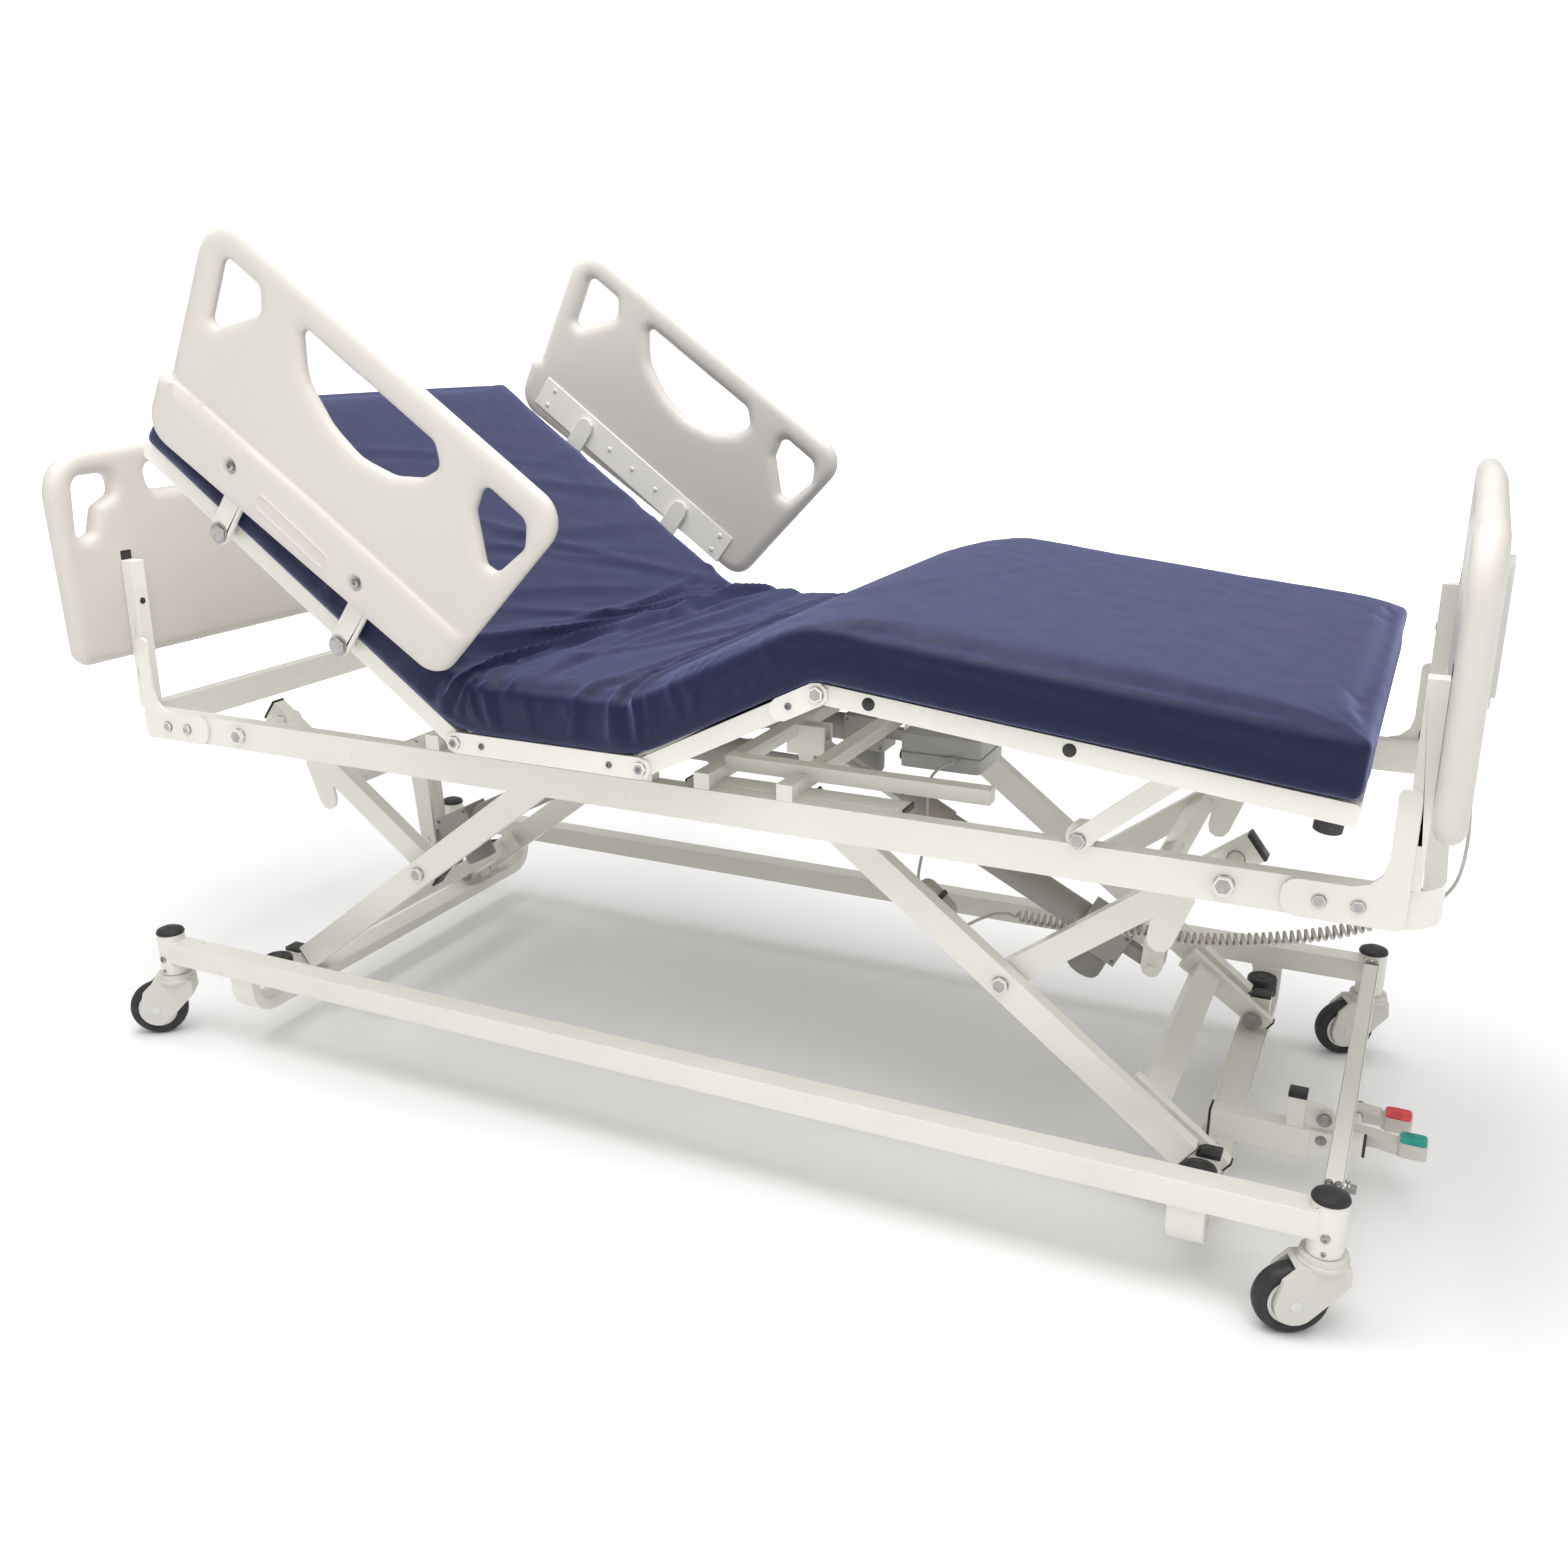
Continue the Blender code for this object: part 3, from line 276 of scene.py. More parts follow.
PAINT = painted("cream_paint", (0.780, 0.758, 0.695))
PLASTIC = moulded_plastic("cream_plastic", (0.600, 0.568, 0.522))
HOOD = moulded_plastic("caster_plastic", (0.66, 0.635, 0.59), 0.40)
HUB = moulded_plastic("hub_plastic", (0.68, 0.68, 0.66), 0.38)
RUBBER = rubber("tyre_rubber")
CAP = rubber("black_caps", (0.015, 0.013, 0.014), 0.45)
ZINC = zinc("zinc_bolts")
DARK_ZINC = zinc("socket_steel", (0.22, 0.22, 0.23), 0.4)
STEEL = zinc("bright_rod", (0.60, 0.60, 0.59), 0.22, (1, 1, 14))
MOTOR = moulded_plastic("motor_plastic", (0.33, 0.305, 0.285), 0.45)
MOTOR_DARK = moulded_plastic("motor_housing", (0.255, 0.245, 0.235), 0.5)
BOX = moulded_plastic("box_plastic", (0.40, 0.40, 0.39), 0.4)
HANDSET = moulded_plastic("handset_plastic", (0.62, 0.62, 0.60), 0.4)
ROCKER = moulded_plastic("rocker_plastic", (0.10, 0.11, 0.13), 0.45)
CORD = moulded_plastic("cord_jacket", (0.46, 0.43, 0.39), 0.42, 1500.0)
RED = rubber("red_pad", (0.56, 0.050, 0.055), 0.5)
GREEN = rubber("green_pad", (0.010, 0.270, 0.215), 0.5)
NYLON = nylon("navy_nylon")

# Shapes


def rounded(corners, steps=8):
    """An outline from (x, y, radius) corners, each turned into an arc."""
    outline = []
    for i, (x, y, radius) in enumerate(corners):
        here = Vector((x, y))
        if radius == 0:
            outline.append((x, y))
            continue
        back = (Vector(corners[i - 1][:2]) - here).normalized()
        onward = (Vector(corners[(i + 1) % len(corners)][:2]) - here).normalized()
        half = back.angle(onward) / 2
        middle = here + (back + onward).normalized() * (radius / math.sin(half))
        first = here + back * (radius / math.tan(half)) - middle
        last = here + onward * (radius / math.tan(half)) - middle
        turn = first.angle_signed(last)
        count = max(2, round(steps * abs(turn) / 1.6))
        for step in range(count + 1):
            outline.append(tuple(middle + Matrix.Rotation(-turn * step / count, 2) @ first))
    return outline


def along(axis, u, v, w):
    """A point from two plane coordinates and one along the axis."""
    return {"X": (w, u, v), "Y": (u, w, v), "Z": (u, v, w)}[axis]


def prism(axis, outline, low, high, bevel=0.0, segments=2):
    """A closed bar of one outline, its rims rounded."""
    shape = bmesh.new()
    first = [shape.verts.new(along(axis, u, v, low)) for u, v in outline]
    last = [shape.verts.new(along(axis, u, v, high)) for u, v in outline]
    shape.faces.new(first)
    shape.faces.new(last[::-1])
    for i in range(len(outline)):
        j = (i + 1) % len(outline)
        shape.faces.new((first[j], first[i], last[i], last[j]))
    bmesh.ops.recalc_face_normals(shape, faces=shape.faces)
    if bevel:
        edges = [e for e in shape.edges if e.calc_face_angle(0) > math.radians(35)]
        bmesh.ops.bevel(shape, geom=edges, offset=bevel, segments=segments, profile=0.5, affect="EDGES")
    return shape


def box(x, y, z, bevel=0.0, segments=2):
    """A closed block from a pair of limits along each axis."""
    corners = [(x[0], y[0]), (x[1], y[0]), (x[1], y[1]), (x[0], y[1])]
    return prism("Z", corners, *z, bevel, segments)


def lathe(axis, centre, profile, sides=32, open_middle=False):
    """A turned shape round an axis through centre, from (radius, distance along the axis) points.

    open_middle joins the profile's two ends to each other, where otherwise each end is capped.
    """
    shape = bmesh.new()
    rings = []
    for i in range(sides):
        a = 2 * math.pi * i / sides
        ring = []
        for r, w in profile:
            u, v = r * math.cos(a), r * math.sin(a)
            x, y, z = along(axis, u, v, w)
            ring.append(shape.verts.new((x + centre[0], y + centre[1], z + centre[2])))
        rings.append(ring)
    count = len(profile)
    for i in range(sides):
        a, b = rings[i], rings[(i + 1) % sides]
        for j in range(count if open_middle else count - 1):
            k = (j + 1) % count
            shape.faces.new((a[j], a[k], b[k], b[j]))
    if not open_middle:
        shape.faces.new([ring[0] for ring in rings])
        shape.faces.new([ring[-1] for ring in rings])
    bmesh.ops.recalc_face_normals(shape, faces=shape.faces)
    return shape


def turned_out(profile, side):
    """A lathe profile that stands on one side."""
    return [(r, side * w) for r, w in profile]


def hex_bolt(axis, centre, radius, height, side=1, washer=1.3):
    """A hexagon head with a chamfered face over a thin washer, standing along the axis on one side."""
    rim = radius * washer
    ring = [(0.001, 0), (rim, 0), (rim + 0.0002, 0.0008), (rim, 0.0014), (0.001, 0.0014)]
    shares = ((1.0, 0.80), (0.90, 1.0), (0.55, 1.02))
    head = [(radius, 0.0012), *((radius * r, height * w) for r, w in shares)]
    return [
        lathe(axis, centre, turned_out(ring, side), 28),
        lathe(axis, centre, turned_out(head, side), 6),
    ]


def screw(axis, centre, radius, side=1):
    """A domed screw head with a socket."""
    shares = [(1.0, 0.0), (1.0, 0.20), (0.92, 0.42), (0.62, 0.60), (0.42, 0.60), (0.40, 0.25)]
    dome = [(0.001, 0), *((radius * r, radius * w) for r, w in shares), (0.0006, radius * 0.25)]
    return [lathe(axis, centre, turned_out(dome, side), 24)]


def to_mesh(shape, name):
    """A mesh from a shape that is no longer needed."""
    mesh = bpy.data.meshes.new(name)
    shape.to_mesh(mesh)
    shape.free()
    return mesh


def merged(shapes, transform):
    """One mesh from several closed shapes, in the row frame."""
    mesh = bpy.data.meshes.new("merged")
    whole = bmesh.new()
    for shape in shapes:
        shape.to_mesh(mesh)
        whole.from_mesh(mesh)
        shape.free()
    whole.transform(transform)
    if transform.determinant() < 0:
        bmesh.ops.reverse_faces(whole, faces=whole.faces)
    whole.to_mesh(mesh)
    whole.free()
    return mesh


def piece(name, shapes, material, body, transform=BED, angle=38, replaces=()):
    """A named piece of the visual model that rides on a body of the frame."""
    mesh = merged(shapes, transform)
    mesh.name = name
    return finished(name, mesh, material, body, angle, replaces)


def finished(name, mesh, material, body, angle=38, replaces=()):
    """Gives a mesh its finish and its body, and hides the CAD nodes that it stands for."""
    made = in_scene(name, mesh)
    mesh.materials.clear()
    mesh.materials.append(material)
    mesh.shade_smooth()
    mesh.set_sharp_from_angle(angle=math.radians(angle))
    if body:
        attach(made, body)
    if replaces:
        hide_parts(*replaces)
    return made


def span(pair, side):
    """Limits along Y on one side of the bed."""
    return tuple(sorted((side * pair[0], side * pair[1])))


# The frame's own nodes: rounded edges and a finish


WELD_DISTANCE = 0.00002
EDGE_ANGLE = math.radians(32)


def dressed(name, material, width, segments):
    """Keeps a CAD node, rounds its sharp edges and gives it a finish."""
    node = NODES[name]
    mesh = node.data
    mesh.materials.clear()
    mesh.materials.append(material)
    if "custom_normal" in mesh.attributes:
        mesh.attributes.remove(mesh.attributes["custom_normal"])
    mesh.shade_smooth()
    weld = node.modifiers.new("weld", "WELD")
    weld.merge_threshold = WELD_DISTANCE
    bevel = node.modifiers.new("round", "BEVEL")
    bevel.width = width
    bevel.segments = segments
    bevel.limit_method = "ANGLE"
    bevel.angle_limit = EDGE_ANGLE
    bevel.harden_normals = True
    bevel.miter_outer = "MITER_ARC"


# The first pattern that a node's name fits gives its finish, edge radius and edge segments
FINISHES = (
    ("(upper_frame|base_rail).*|.*(leg|arm)_frame", PAINT, 0.0024, 2),
    ("caster_hood.*", HOOD, 0.0035, 3),
    (".*pedal", PLASTIC, 0.0025, 3),
    (".*_body", MOTOR, 0.0025, 2),
    (".*_rod", STEEL, 0.0010, 1),
    ("control_box", BOX, 0.0030, 3),
    ("handset", HANDSET, 0.0035, 3),
    (".*rocker", ROCKER, 0.0008, 2),
    (".*", PAINT, 0.0014, 2),
)
REPLACED = "(mattress|cord|caster_wheel|side_rail|headboard|footboard).*"

for node_name in NODES:
    if not re.fullmatch(REPLACED, node_name):
        finish = next(row for row in FINISHES if re.fullmatch(row[0], node_name))
        dressed(node_name, *finish[1:])

# Moulded plates


def inside(points, outline):
    """Which points lie inside a closed outline."""
    x, y = points[:, 0], points[:, 1]
    found = np.zeros(len(points), bool)
    ring = np.array(outline)
    for (x0, y0), (x1, y1) in zip(ring, np.roll(ring, -1, 0)):
        if y0 == y1:
            continue
        found ^= ((y0 > y) != (y1 > y)) & (x < (x1 - x0) * (y - y0) / (y1 - y0) + x0)
    return found


def distance(points, outline, closed=True):
    """Each point's distance to a line of points."""
    ring = np.array(outline, float)
    ends = np.roll(ring, -1, 0) if closed else ring[1:]
    starts = ring if closed else ring[:-1]
    best = np.full(len(points), 1e9)
    for a, b in zip(starts, ends):
        d = b - a
        t = np.clip(((points - a) @ d) / max(d @ d, 1e-12), 0, 1)
        best = np.minimum(best, np.linalg.norm(points - (a + t[:, None] * d), axis=1))
    return best


def dense(outline, step, closed=True):
    """The same line with a point at least every step."""
    found = []
    count = len(outline)
    for i in range(count if closed else count - 1):
        a, b = Vector(outline[i]), Vector(outline[(i + 1) % count])
        parts = max(1, math.ceil((b - a).length / step))
        found += [tuple(a.lerp(b, k / parts)) for k in range(parts)]
    if not closed:
        found.append(tuple(outline[-1]))
    return found


def beside(outline, offset, closed=True):
    """Points at an offset to the left of a line."""
    ring = np.array(outline, float)
    if closed:
        tangent = np.roll(ring, -1, 0) - np.roll(ring, 1, 0)
    else:
        tangent = np.gradient(ring, axis=0)
    normal = np.stack([-tangent[:, 1], tangent[:, 0]], 1)
    normal /= np.linalg.norm(normal, axis=1)[:, None] + 1e-12
    return ring + normal * offset


def on_plate(points, outer, holes):
    """Which points lie inside a plate's outline and outside its holes."""
    found = inside(points, outer)
    for hole in holes:
        found &= ~inside(points, hole)
    return found


def rim_distance(points, rims):
    """Each point's distance to the nearest rim."""
    return np.min([distance(points, rim) for rim in rims], axis=0)


ROLL_STEPS = (0.05, 0.16, 0.32, 0.52, 0.76, 1.0)
RIM_STEP = 0.008
GRID_STEP = 0.020
LEAST_GAP = 0.0022


def plate_points(outer, holes, rims, roll, extra):
    """Points over a plate: rows beside its rims, then its detail's own rows, then a coarse grid."""
    rows = []
    for rim in rims:
        for share in ROLL_STEPS:
            for side in (-1, 1):
                rows.append((beside(rim, side * roll * share), roll * share * 0.93))
    rows += [(np.array(row, float), 0.002) for row in extra]
    ring = np.array(outer)
    u, v = (np.arange(ring[:, i].min(), ring[:, i].max(), GRID_STEP) for i in (0, 1))
    rows.append((np.stack(np.meshgrid(u, v), -1).reshape(-1, 2), roll * 1.3))
    taken = np.zeros((0, 2))
    for row, least in rows:
        row = row[on_plate(row, outer, holes)]
        if len(row) == 0:
            continue
        row = row[rim_distance(row, rims) > least]
        if len(taken) and len(row):
            gap = np.min(np.linalg.norm(row[:, None] - taken[None], axis=2), axis=1)
            row = row[gap > LEAST_GAP]
        taken = np.concatenate([taken, row])
    return taken


def moulded(name, outer, holes, low, high, roll, to_point, body, replaces, lift=None, extra=()):
    """A hollow-moulded plate between low and high, whose outline and holes roll round in an ellipse.

    to_point turns (u, v, w) into the row frame. lift adds height to the high face, and extra gives
    points for its detail.
    """
    rims = [dense(rim, RIM_STEP) for rim in (outer, *holes)]
    points = []
    edges = []
    for rim in rims:
        start = len(points)
        points += rim
        edges += [(start + i, start + (i + 1) % len(rim)) for i in range(len(rim))]
    points += list(plate_points(outer, holes, rims, roll, extra))
    made = geometry.delaunay_2d_cdt([Vector(p) for p in points], edges, [], 0, 1e-7)
    flat = np.array([tuple(v) for v in made[0]])
    faces = np.array([f for f in made[2] if len(f) == 3])
    faces = faces[on_plate(flat[faces].mean(1), outer, holes)]
    near = rim_distance(flat, rims)
    on_rim = near < 1e-5
    faces = faces[~on_rim[faces].all(1)]
    t = np.clip(1 - near / roll, 0, 1)
    rolled = np.sqrt(np.clip(1 - t**2, 0, 1))
    top = (low + high) / 2 + (high - low) / 2 * rolled
    bottom = (low + high) / 2 - (high - low) / 2 * rolled
    if lift is not None:
        top = top + lift(flat) * rolled
    shape = bmesh.new()
    upper = [shape.verts.new(to_point(u, v, w)) for (u, v), w in zip(flat, top)]
    lower = [
        upper[i] if on_rim[i] else shape.verts.new(to_point(*flat[i], bottom[i]))
        for i in range(len(flat))
    ]
    for a, b, c in faces:
        shape.faces.new((upper[a], upper[b], upper[c]))
        shape.faces.new((lower[a], lower[c], lower[b]))
    loose_verts = [v for v in shape.verts if not v.link_faces]
    bmesh.ops.delete(shape, geom=loose_verts, context="VERTS")
    bmesh.ops.recalc_face_normals(shape, faces=shape.faces)
    return finished(name, to_mesh(shape, name), PLASTIC, body, 75, replaces)


def step(value, low, high):
    """0 below low, 1 over high, and a smooth ramp between."""
    t = np.clip((value - low) / (high - low), 0, 1)
    return t * t * (3 - 2 * t)


# The side rail's outline, openings, blank badge and ridge, as (s, n) along and over the back section
PANEL = [
    (0.713, 0.427, 0.060), (0.003, 0.436, 0.045), (0.050, 0.098, 0.042),
    (0.668, 0.070, 0.050), (0.682, 0.160, 0.014), (0.666, 0.178, 0.006),
]
PANEL_HOLES = [
    [
        (0.660, 0.382, 0.014), (0.583, 0.382, 0.014), (0.563, 0.350, 0.016), (0.622, 0.282, 0.012),
        (0.640, 0.286, 0.010),
    ],
    [
        (0.500, 0.381, 0.010), (0.232, 0.384, 0.018), (0.206, 0.360, 0.014), (0.222, 0.330, 0.024),
        (0.262, 0.301, 0.060), (0.325, 0.284, 0.080), (0.388, 0.292, 0.100), (0.458, 0.321, 0.070),
    ],
    [
        (0.138, 0.388, 0.013), (0.056, 0.388, 0.020), (0.038, 0.355, 0.018), (0.055, 0.297, 0.014),
        (0.077, 0.294, 0.010), (0.130, 0.346, 0.016),
    ],
]
BADGE_CORNERS = ((0.286, 0.113), (0.435, 0.113), (0.435, 0.135), (0.286, 0.135))
BADGE = rounded([(s, n, 0.0105) for s, n in BADGE_CORNERS], 6)
RIDGE = [(0.020, 0.1880), (0.330, 0.1850), (0.690, 0.1750)]
PANEL_FACES, PANEL_ROLL = (0.472, 0.4995), 0.0225
RIDGE_HEIGHT, BADGE_HEIGHT, SCREW_DEPTH = 0.0092, 0.0024, 0.0062
PLATE_SCREWS = (
    (0.130, 0.112), (0.130, 0.147), (0.300, 0.129), (0.366, 0.129), (0.430, 0.129),
    (0.600, 0.112), (0.600, 0.147),
)


def circle(centre, radius, count):
    """Points evenly round a circle."""
    turns = [2 * math.pi * i / count for i in range(count)]
    return [(centre[0] + radius * math.cos(a), centre[1] + radius * math.sin(a)) for a in turns]


def side_rail(side_name):
    """A moulded panel with its screws, and the steel plate on its inner face."""
    side = SIDES[side_name]
    holes = [rounded(hole, 8) for hole in PANEL_HOLES]
    outer = rounded(PANEL, 10)
    screws = [(s, RAIL_ARM_LENGTH) for s in RAIL_ARM_S]

    def to_point(s, n, w):
        return BACK @ Vector((-s, side * w, n))

    def lift(flat):
        ridge = np.interp(flat[:, 0], [p[0] for p in RIDGE], [p[1] for p in RIDGE])
        height = RIDGE_HEIGHT * (1 - step(flat[:, 1] - ridge, -0.0085, 0.0015))
        height += BADGE_HEIGHT * np.exp(-((distance(flat, BADGE) / 0.0016) ** 2))
        for centre in screws:
            away = np.linalg.norm(flat - np.array(centre), axis=1)
            height -= SCREW_DEPTH * (1 - step(away, 0.0098, 0.0140))
        return height

    ridge = dense(RIDGE, 0.010, closed=False)
    badge = dense(BADGE, 0.0035)
    offsets = (-0.0125, -0.0100, -0.0075, -0.0050, -0.0025, 0.0, 0.0025, 0.005)
    extra = [beside(ridge, -offset, closed=False) for offset in offsets]
    extra += [beside(badge, offset) for offset in (0.0, 0.0023, -0.0023, 0.0048, -0.0048)]
    for centre in screws:
        extra.append(circle(centre, 0.0, 1))
        extra += [circle(centre, radius, 24) for radius in (0.0050, 0.0092, 0.0116, 0.0142, 0.0175)]
    body = f"side_rail_{side_name}_body"
    node = f"side_rail_{side_name}"
    panel = f"side_rail_panel_{side_name}"
    moulded(panel, outer, holes, *PANEL_FACES, PANEL_ROLL, to_point, body, [node], lift, extra)
    bolts = []
    for s, n in screws:
        ring = [(0.0010, 0), (0.0096, 0), (0.0098, 0.0008), (0.0094, 0.0016), (0.001, 0.0016)]
        bolts.append(lathe("Y", (-s, side * 0.5024, n), turned_out(ring, side), 28))
        bolts += screw("Y", (-s, side * 0.5038, n), 0.0070, side)
    piece(f"side_rail_screws_{side_name}", bolts, ZINC, body, BACK)
    outline = [(-0.105, 0.098), (-0.628, 0.098), (-0.628, 0.160), (-0.105, 0.160)]
    plates = [prism("Y", outline, *span((0.4690, 0.4722), side), 0.0008, 1)]
    for s, n in PLATE_SCREWS:
        plates += screw("Y", (-s, side * 0.4692, n), 0.0045, -side)
    piece(f"side_rail_plate_{side_name}", plates, PAINT, body, BACK)


for one_side in SIDES:
    side_rail(one_side)

BOARD_HALF, BOARD_LOW, BOARD_HIGH = 0.475, 0.690, 1.060
BOARD_FACES, BOARD_ROLL = (1.0478, 1.0850), 0.021
HAND_HOLE = [
    (0.352, 1.008, 0.020), (0.430, 1.006, 0.022), (0.436, 0.900, 0.012),
    (0.405, 0.912, 0.012), (0.392, 0.955, 0.020), (0.355, 0.972, 0.012),
]
GRIP_HOLE = [(-0.285, 1.018, 0.018), (0.285, 1.018, 0.018), (0.275, 0.972, 0.016), (-0.275, 0.972, 0.016)]


def board(end_name):
    """A moulded end board, and the sockets and screws of the brackets that it slides into."""
    end = ENDS[end_name]
    foot, top = BOARD_HALF - 0.006, BOARD_HALF + 0.006
    shoulder = BOARD_HIGH - 0.015
    corners = [(-foot, BOARD_LOW, 0.030), (foot, BOARD_LOW, 0.030), (top, shoulder, 0.075),
               (0.0, BOARD_HIGH + 0.010, 0.6), (-top, shoulder, 0.075)]
    outer = rounded(corners, 12)
    holes = [rounded([(side * y, z, r) for y, z, r in HAND_HOLE], 8) for side in (-1, 1)]
    holes.append(rounded(GRIP_HOLE, 8))

    def to_point(y, z, x):
        return Vector((end * x + BED_X, y, z))

    name = end_name + "board"
    moulded(name + "_panel", outer, holes, *BOARD_FACES, BOARD_ROLL, to_point, "frame", [name])
    sockets = []
    for side in (-1, 1):
        y = side * 0.3507
        x = end * 1.0475
        sockets.append(box((x - 0.0006, x + 0.0006), (y - 0.011, y + 0.011), (0.8605, 0.876), 0.0004, 1))
        dot = [(0.0006, 0), (0.0058, 0), (0.0054, -end * 0.0012), (0.0006, -end * 0.0016)]
        sockets.append(lathe("X", (end * 1.0226, y, 0.790), dot, 20))
    piece(name + "_sockets", sockets, CAP, "frame")


for one_end in ENDS:
    board(one_end)

# Mattress


def mattress_path():
    """The line that the mattress's underside follows, as (x, z, angle) every 2 mm, rounded at each hinge."""
    angles = [math.radians(a) for a in (-BACK_ANGLE, 0.0, THIGH_ANGLE, FOOT_ANGLE)]
    back, foot = angles[0], angles[3]
    head = (BACK_HINGE[0] - BACK_LENGTH * math.cos(back), BACK_HINGE[1] - BACK_LENGTH * math.sin(back))
    tail = (KNEE[0] + FOOT_LENGTH * math.cos(foot), KNEE[1] + FOOT_LENGTH * math.sin(foot))
    normals = [Vector((-math.sin(a), math.cos(a))) for a in angles]
    base = MATTRESS_N[0]
    corners = [Vector(head) + normals[0] * base]
    for i, joint in enumerate((BACK_HINGE, THIGH_HINGE, KNEE)):
        spread = (normals[i] + normals[i + 1]) / (1 + normals[i].dot(normals[i + 1]))
        corners.append(Vector(joint) + spread * base)
    corners.append(Vector(tail) + normals[3] * base)
    radii = (0.0, 0.150, 0.170, 0.055, 0.0)
    line = []
    for i in range(4):
        start, end = corners[i], corners[i + 1]
        direction = (end - start).normalized()
        turn_in = abs(angles[i] - angles[i - 1]) if i else 0.0
        turn_out = abs(angles[i + 1] - angles[i]) if i < 3 else 0.0
        a = start + direction * radii[i] * math.tan(turn_in / 2)
        b = end - direction * radii[i + 1] * math.tan(turn_out / 2)
        count = max(2, int((b - a).length / 0.002))
        line += [(*a.lerp(b, k / count), angles[i]) for k in range(count)]
        if i < 3:
            side = 1 if angles[i + 1] > angles[i] else -1
            middle = b + normals[i] * side * radii[i + 1]
            count = max(4, int(radii[i + 1] * turn_out / 0.002))
            for k in range(count):
                a_now = angles[i] + (angles[i + 1] - angles[i]) * k / count
                out = Vector((math.sin(a_now), -math.cos(a_now))) * side * radii[i + 1]
                line.append((*(middle + out), a_now))
    line.append((*corners[-1], angles[3]))
    return np.array(line)


PATH = mattress_path()
PATH_S = np.concatenate([[0], np.cumsum(np.linalg.norm(np.diff(PATH[:, :2], axis=0), axis=1))])
MATTRESS_LENGTH = PATH_S[-1]
MATTRESS_DEPTH = MATTRESS_N[1] - MATTRESS_N[0]


def on_path(s, n):
    """Points of the bed's XZ plane from distance along the mattress and height over its underside."""
    inner = np.clip(s, 0, MATTRESS_LENGTH)
    x, z, a = (np.interp(inner, PATH_S, PATH[:, i]) for i in range(3))
    beyond = s - inner
    x = x + beyond * np.cos(a) - n * np.sin(a) + BED_X
    z = z + beyond * np.sin(a) + n * np.cos(a)
    return x, z


def hinge_s(x):
    """How far along the mattress a bed X lies."""
    return float(np.interp(x, PATH[:, 0], PATH_S))


S_BACK, S_THIGH, S_KNEE = hinge_s(BACK_HINGE[0]), hinge_s(THIGH_HINGE[0]), hinge_s(KNEE[0])
CELL = 0.0098


def rounded_block(length, half_width, depth, radius):
    """Grid points of a block with round edges, as (s, y, n), and its quads."""
    counts = [max(2, round(d / CELL)) for d in (length, 2 * half_width, depth)]
    size = np.array([length, 2 * half_width, depth])
    points, faces, index = [], [], {}

    def vertex(i, j, k):
        key = (i, j, k)
        if key not in index:
            index[key] = len(points)
            points.append((i / counts[0], j / counts[1], k / counts[2]))
        return index[key]

    def face(*corners):
        faces.append([vertex(*c) for c in corners])

    for i in range(counts[0]):
        for j in range(counts[1]):
            face((i, j, 0), (i, j + 1, 0), (i + 1, j + 1, 0), (i + 1, j, 0))
            face((i, j, counts[2]), (i + 1, j, counts[2]), (i + 1, j + 1, counts[2]), (i, j + 1, counts[2]))
    for i in range(counts[0]):
        for k in range(counts[2]):
            face((i, 0, k), (i + 1, 0, k), (i + 1, 0, k + 1), (i, 0, k + 1))
            face((i, counts[1], k), (i, counts[1], k + 1), (i + 1, counts[1], k + 1), (i + 1, counts[1], k))
    for j in range(counts[1]):
        for k in range(counts[2]):
            face((0, j, k), (0, j, k + 1), (0, j + 1, k + 1), (0, j + 1, k))
            face((counts[0], j, k), (counts[0], j + 1, k), (counts[0], j + 1, k + 1), (counts[0], j, k + 1))
    p = np.array(points) * size
    inner = np.clip(p, radius, size - radius)
    away = p - inner
    far = np.linalg.norm(away, axis=1)
    shrunk = away / np.maximum(far, 1e-9)[:, None] * np.minimum(far, radius)[:, None]
    p = inner + np.where(far[:, None] > 1e-9, shrunk, 0)
    p[:, 1] -= half_width
    return p, faces


def creases(s, across):
    """Gathered folds of the cover: long soft ridges laid across it where the deck bends up."""
    draw = np.random.default_rng(11)
    height = np.zeros(len(s))
    # Count, centre, spread, and ranges of reach across, height and width, then lean
    groups = (
        (18, S_BACK + 0.05, 0.060, (0.20, 0.52), (0.0040, 0.0100), (0.007, 0.014), 0.14),
        (15, S_THIGH - 0.01, 0.080, (0.20, 0.48), (0.0030, 0.0070), (0.007, 0.013), 0.12),
        (9, S_BACK - 0.22, 0.150, (0.20, 0.50), (0.0012, 0.0026), (0.010, 0.018), 0.26),
        (4, S_KNEE + 0.05, 0.060, (0.20, 0.40), (0.0006, 0.0012), (0.010, 0.016), 0.20),
    )
    for count, centre, spread, reach, tall, wide, lean in groups:
        for _ in range(count):
            s0 = centre + draw.normal() * spread
            y0 = draw.uniform(-0.38, 0.38)
            tilt = draw.normal() * lean + 0.10
            reach_now = draw.uniform(*reach)
            size = draw.uniform(*tall)
            width = draw.uniform(*wide)
            bow = draw.normal() * 0.25
            u = across - y0
            line = s0 + u * tilt + bow * u * u
            d = (s - line) / width
            ridge = np.exp(-(np.abs(d) ** 1.5)) - 0.55 * np.exp(-(((d - 1.9) / 1.1) ** 2))
            height += size * ridge * np.exp(-np.abs(u / reach_now) ** 3)
    return height


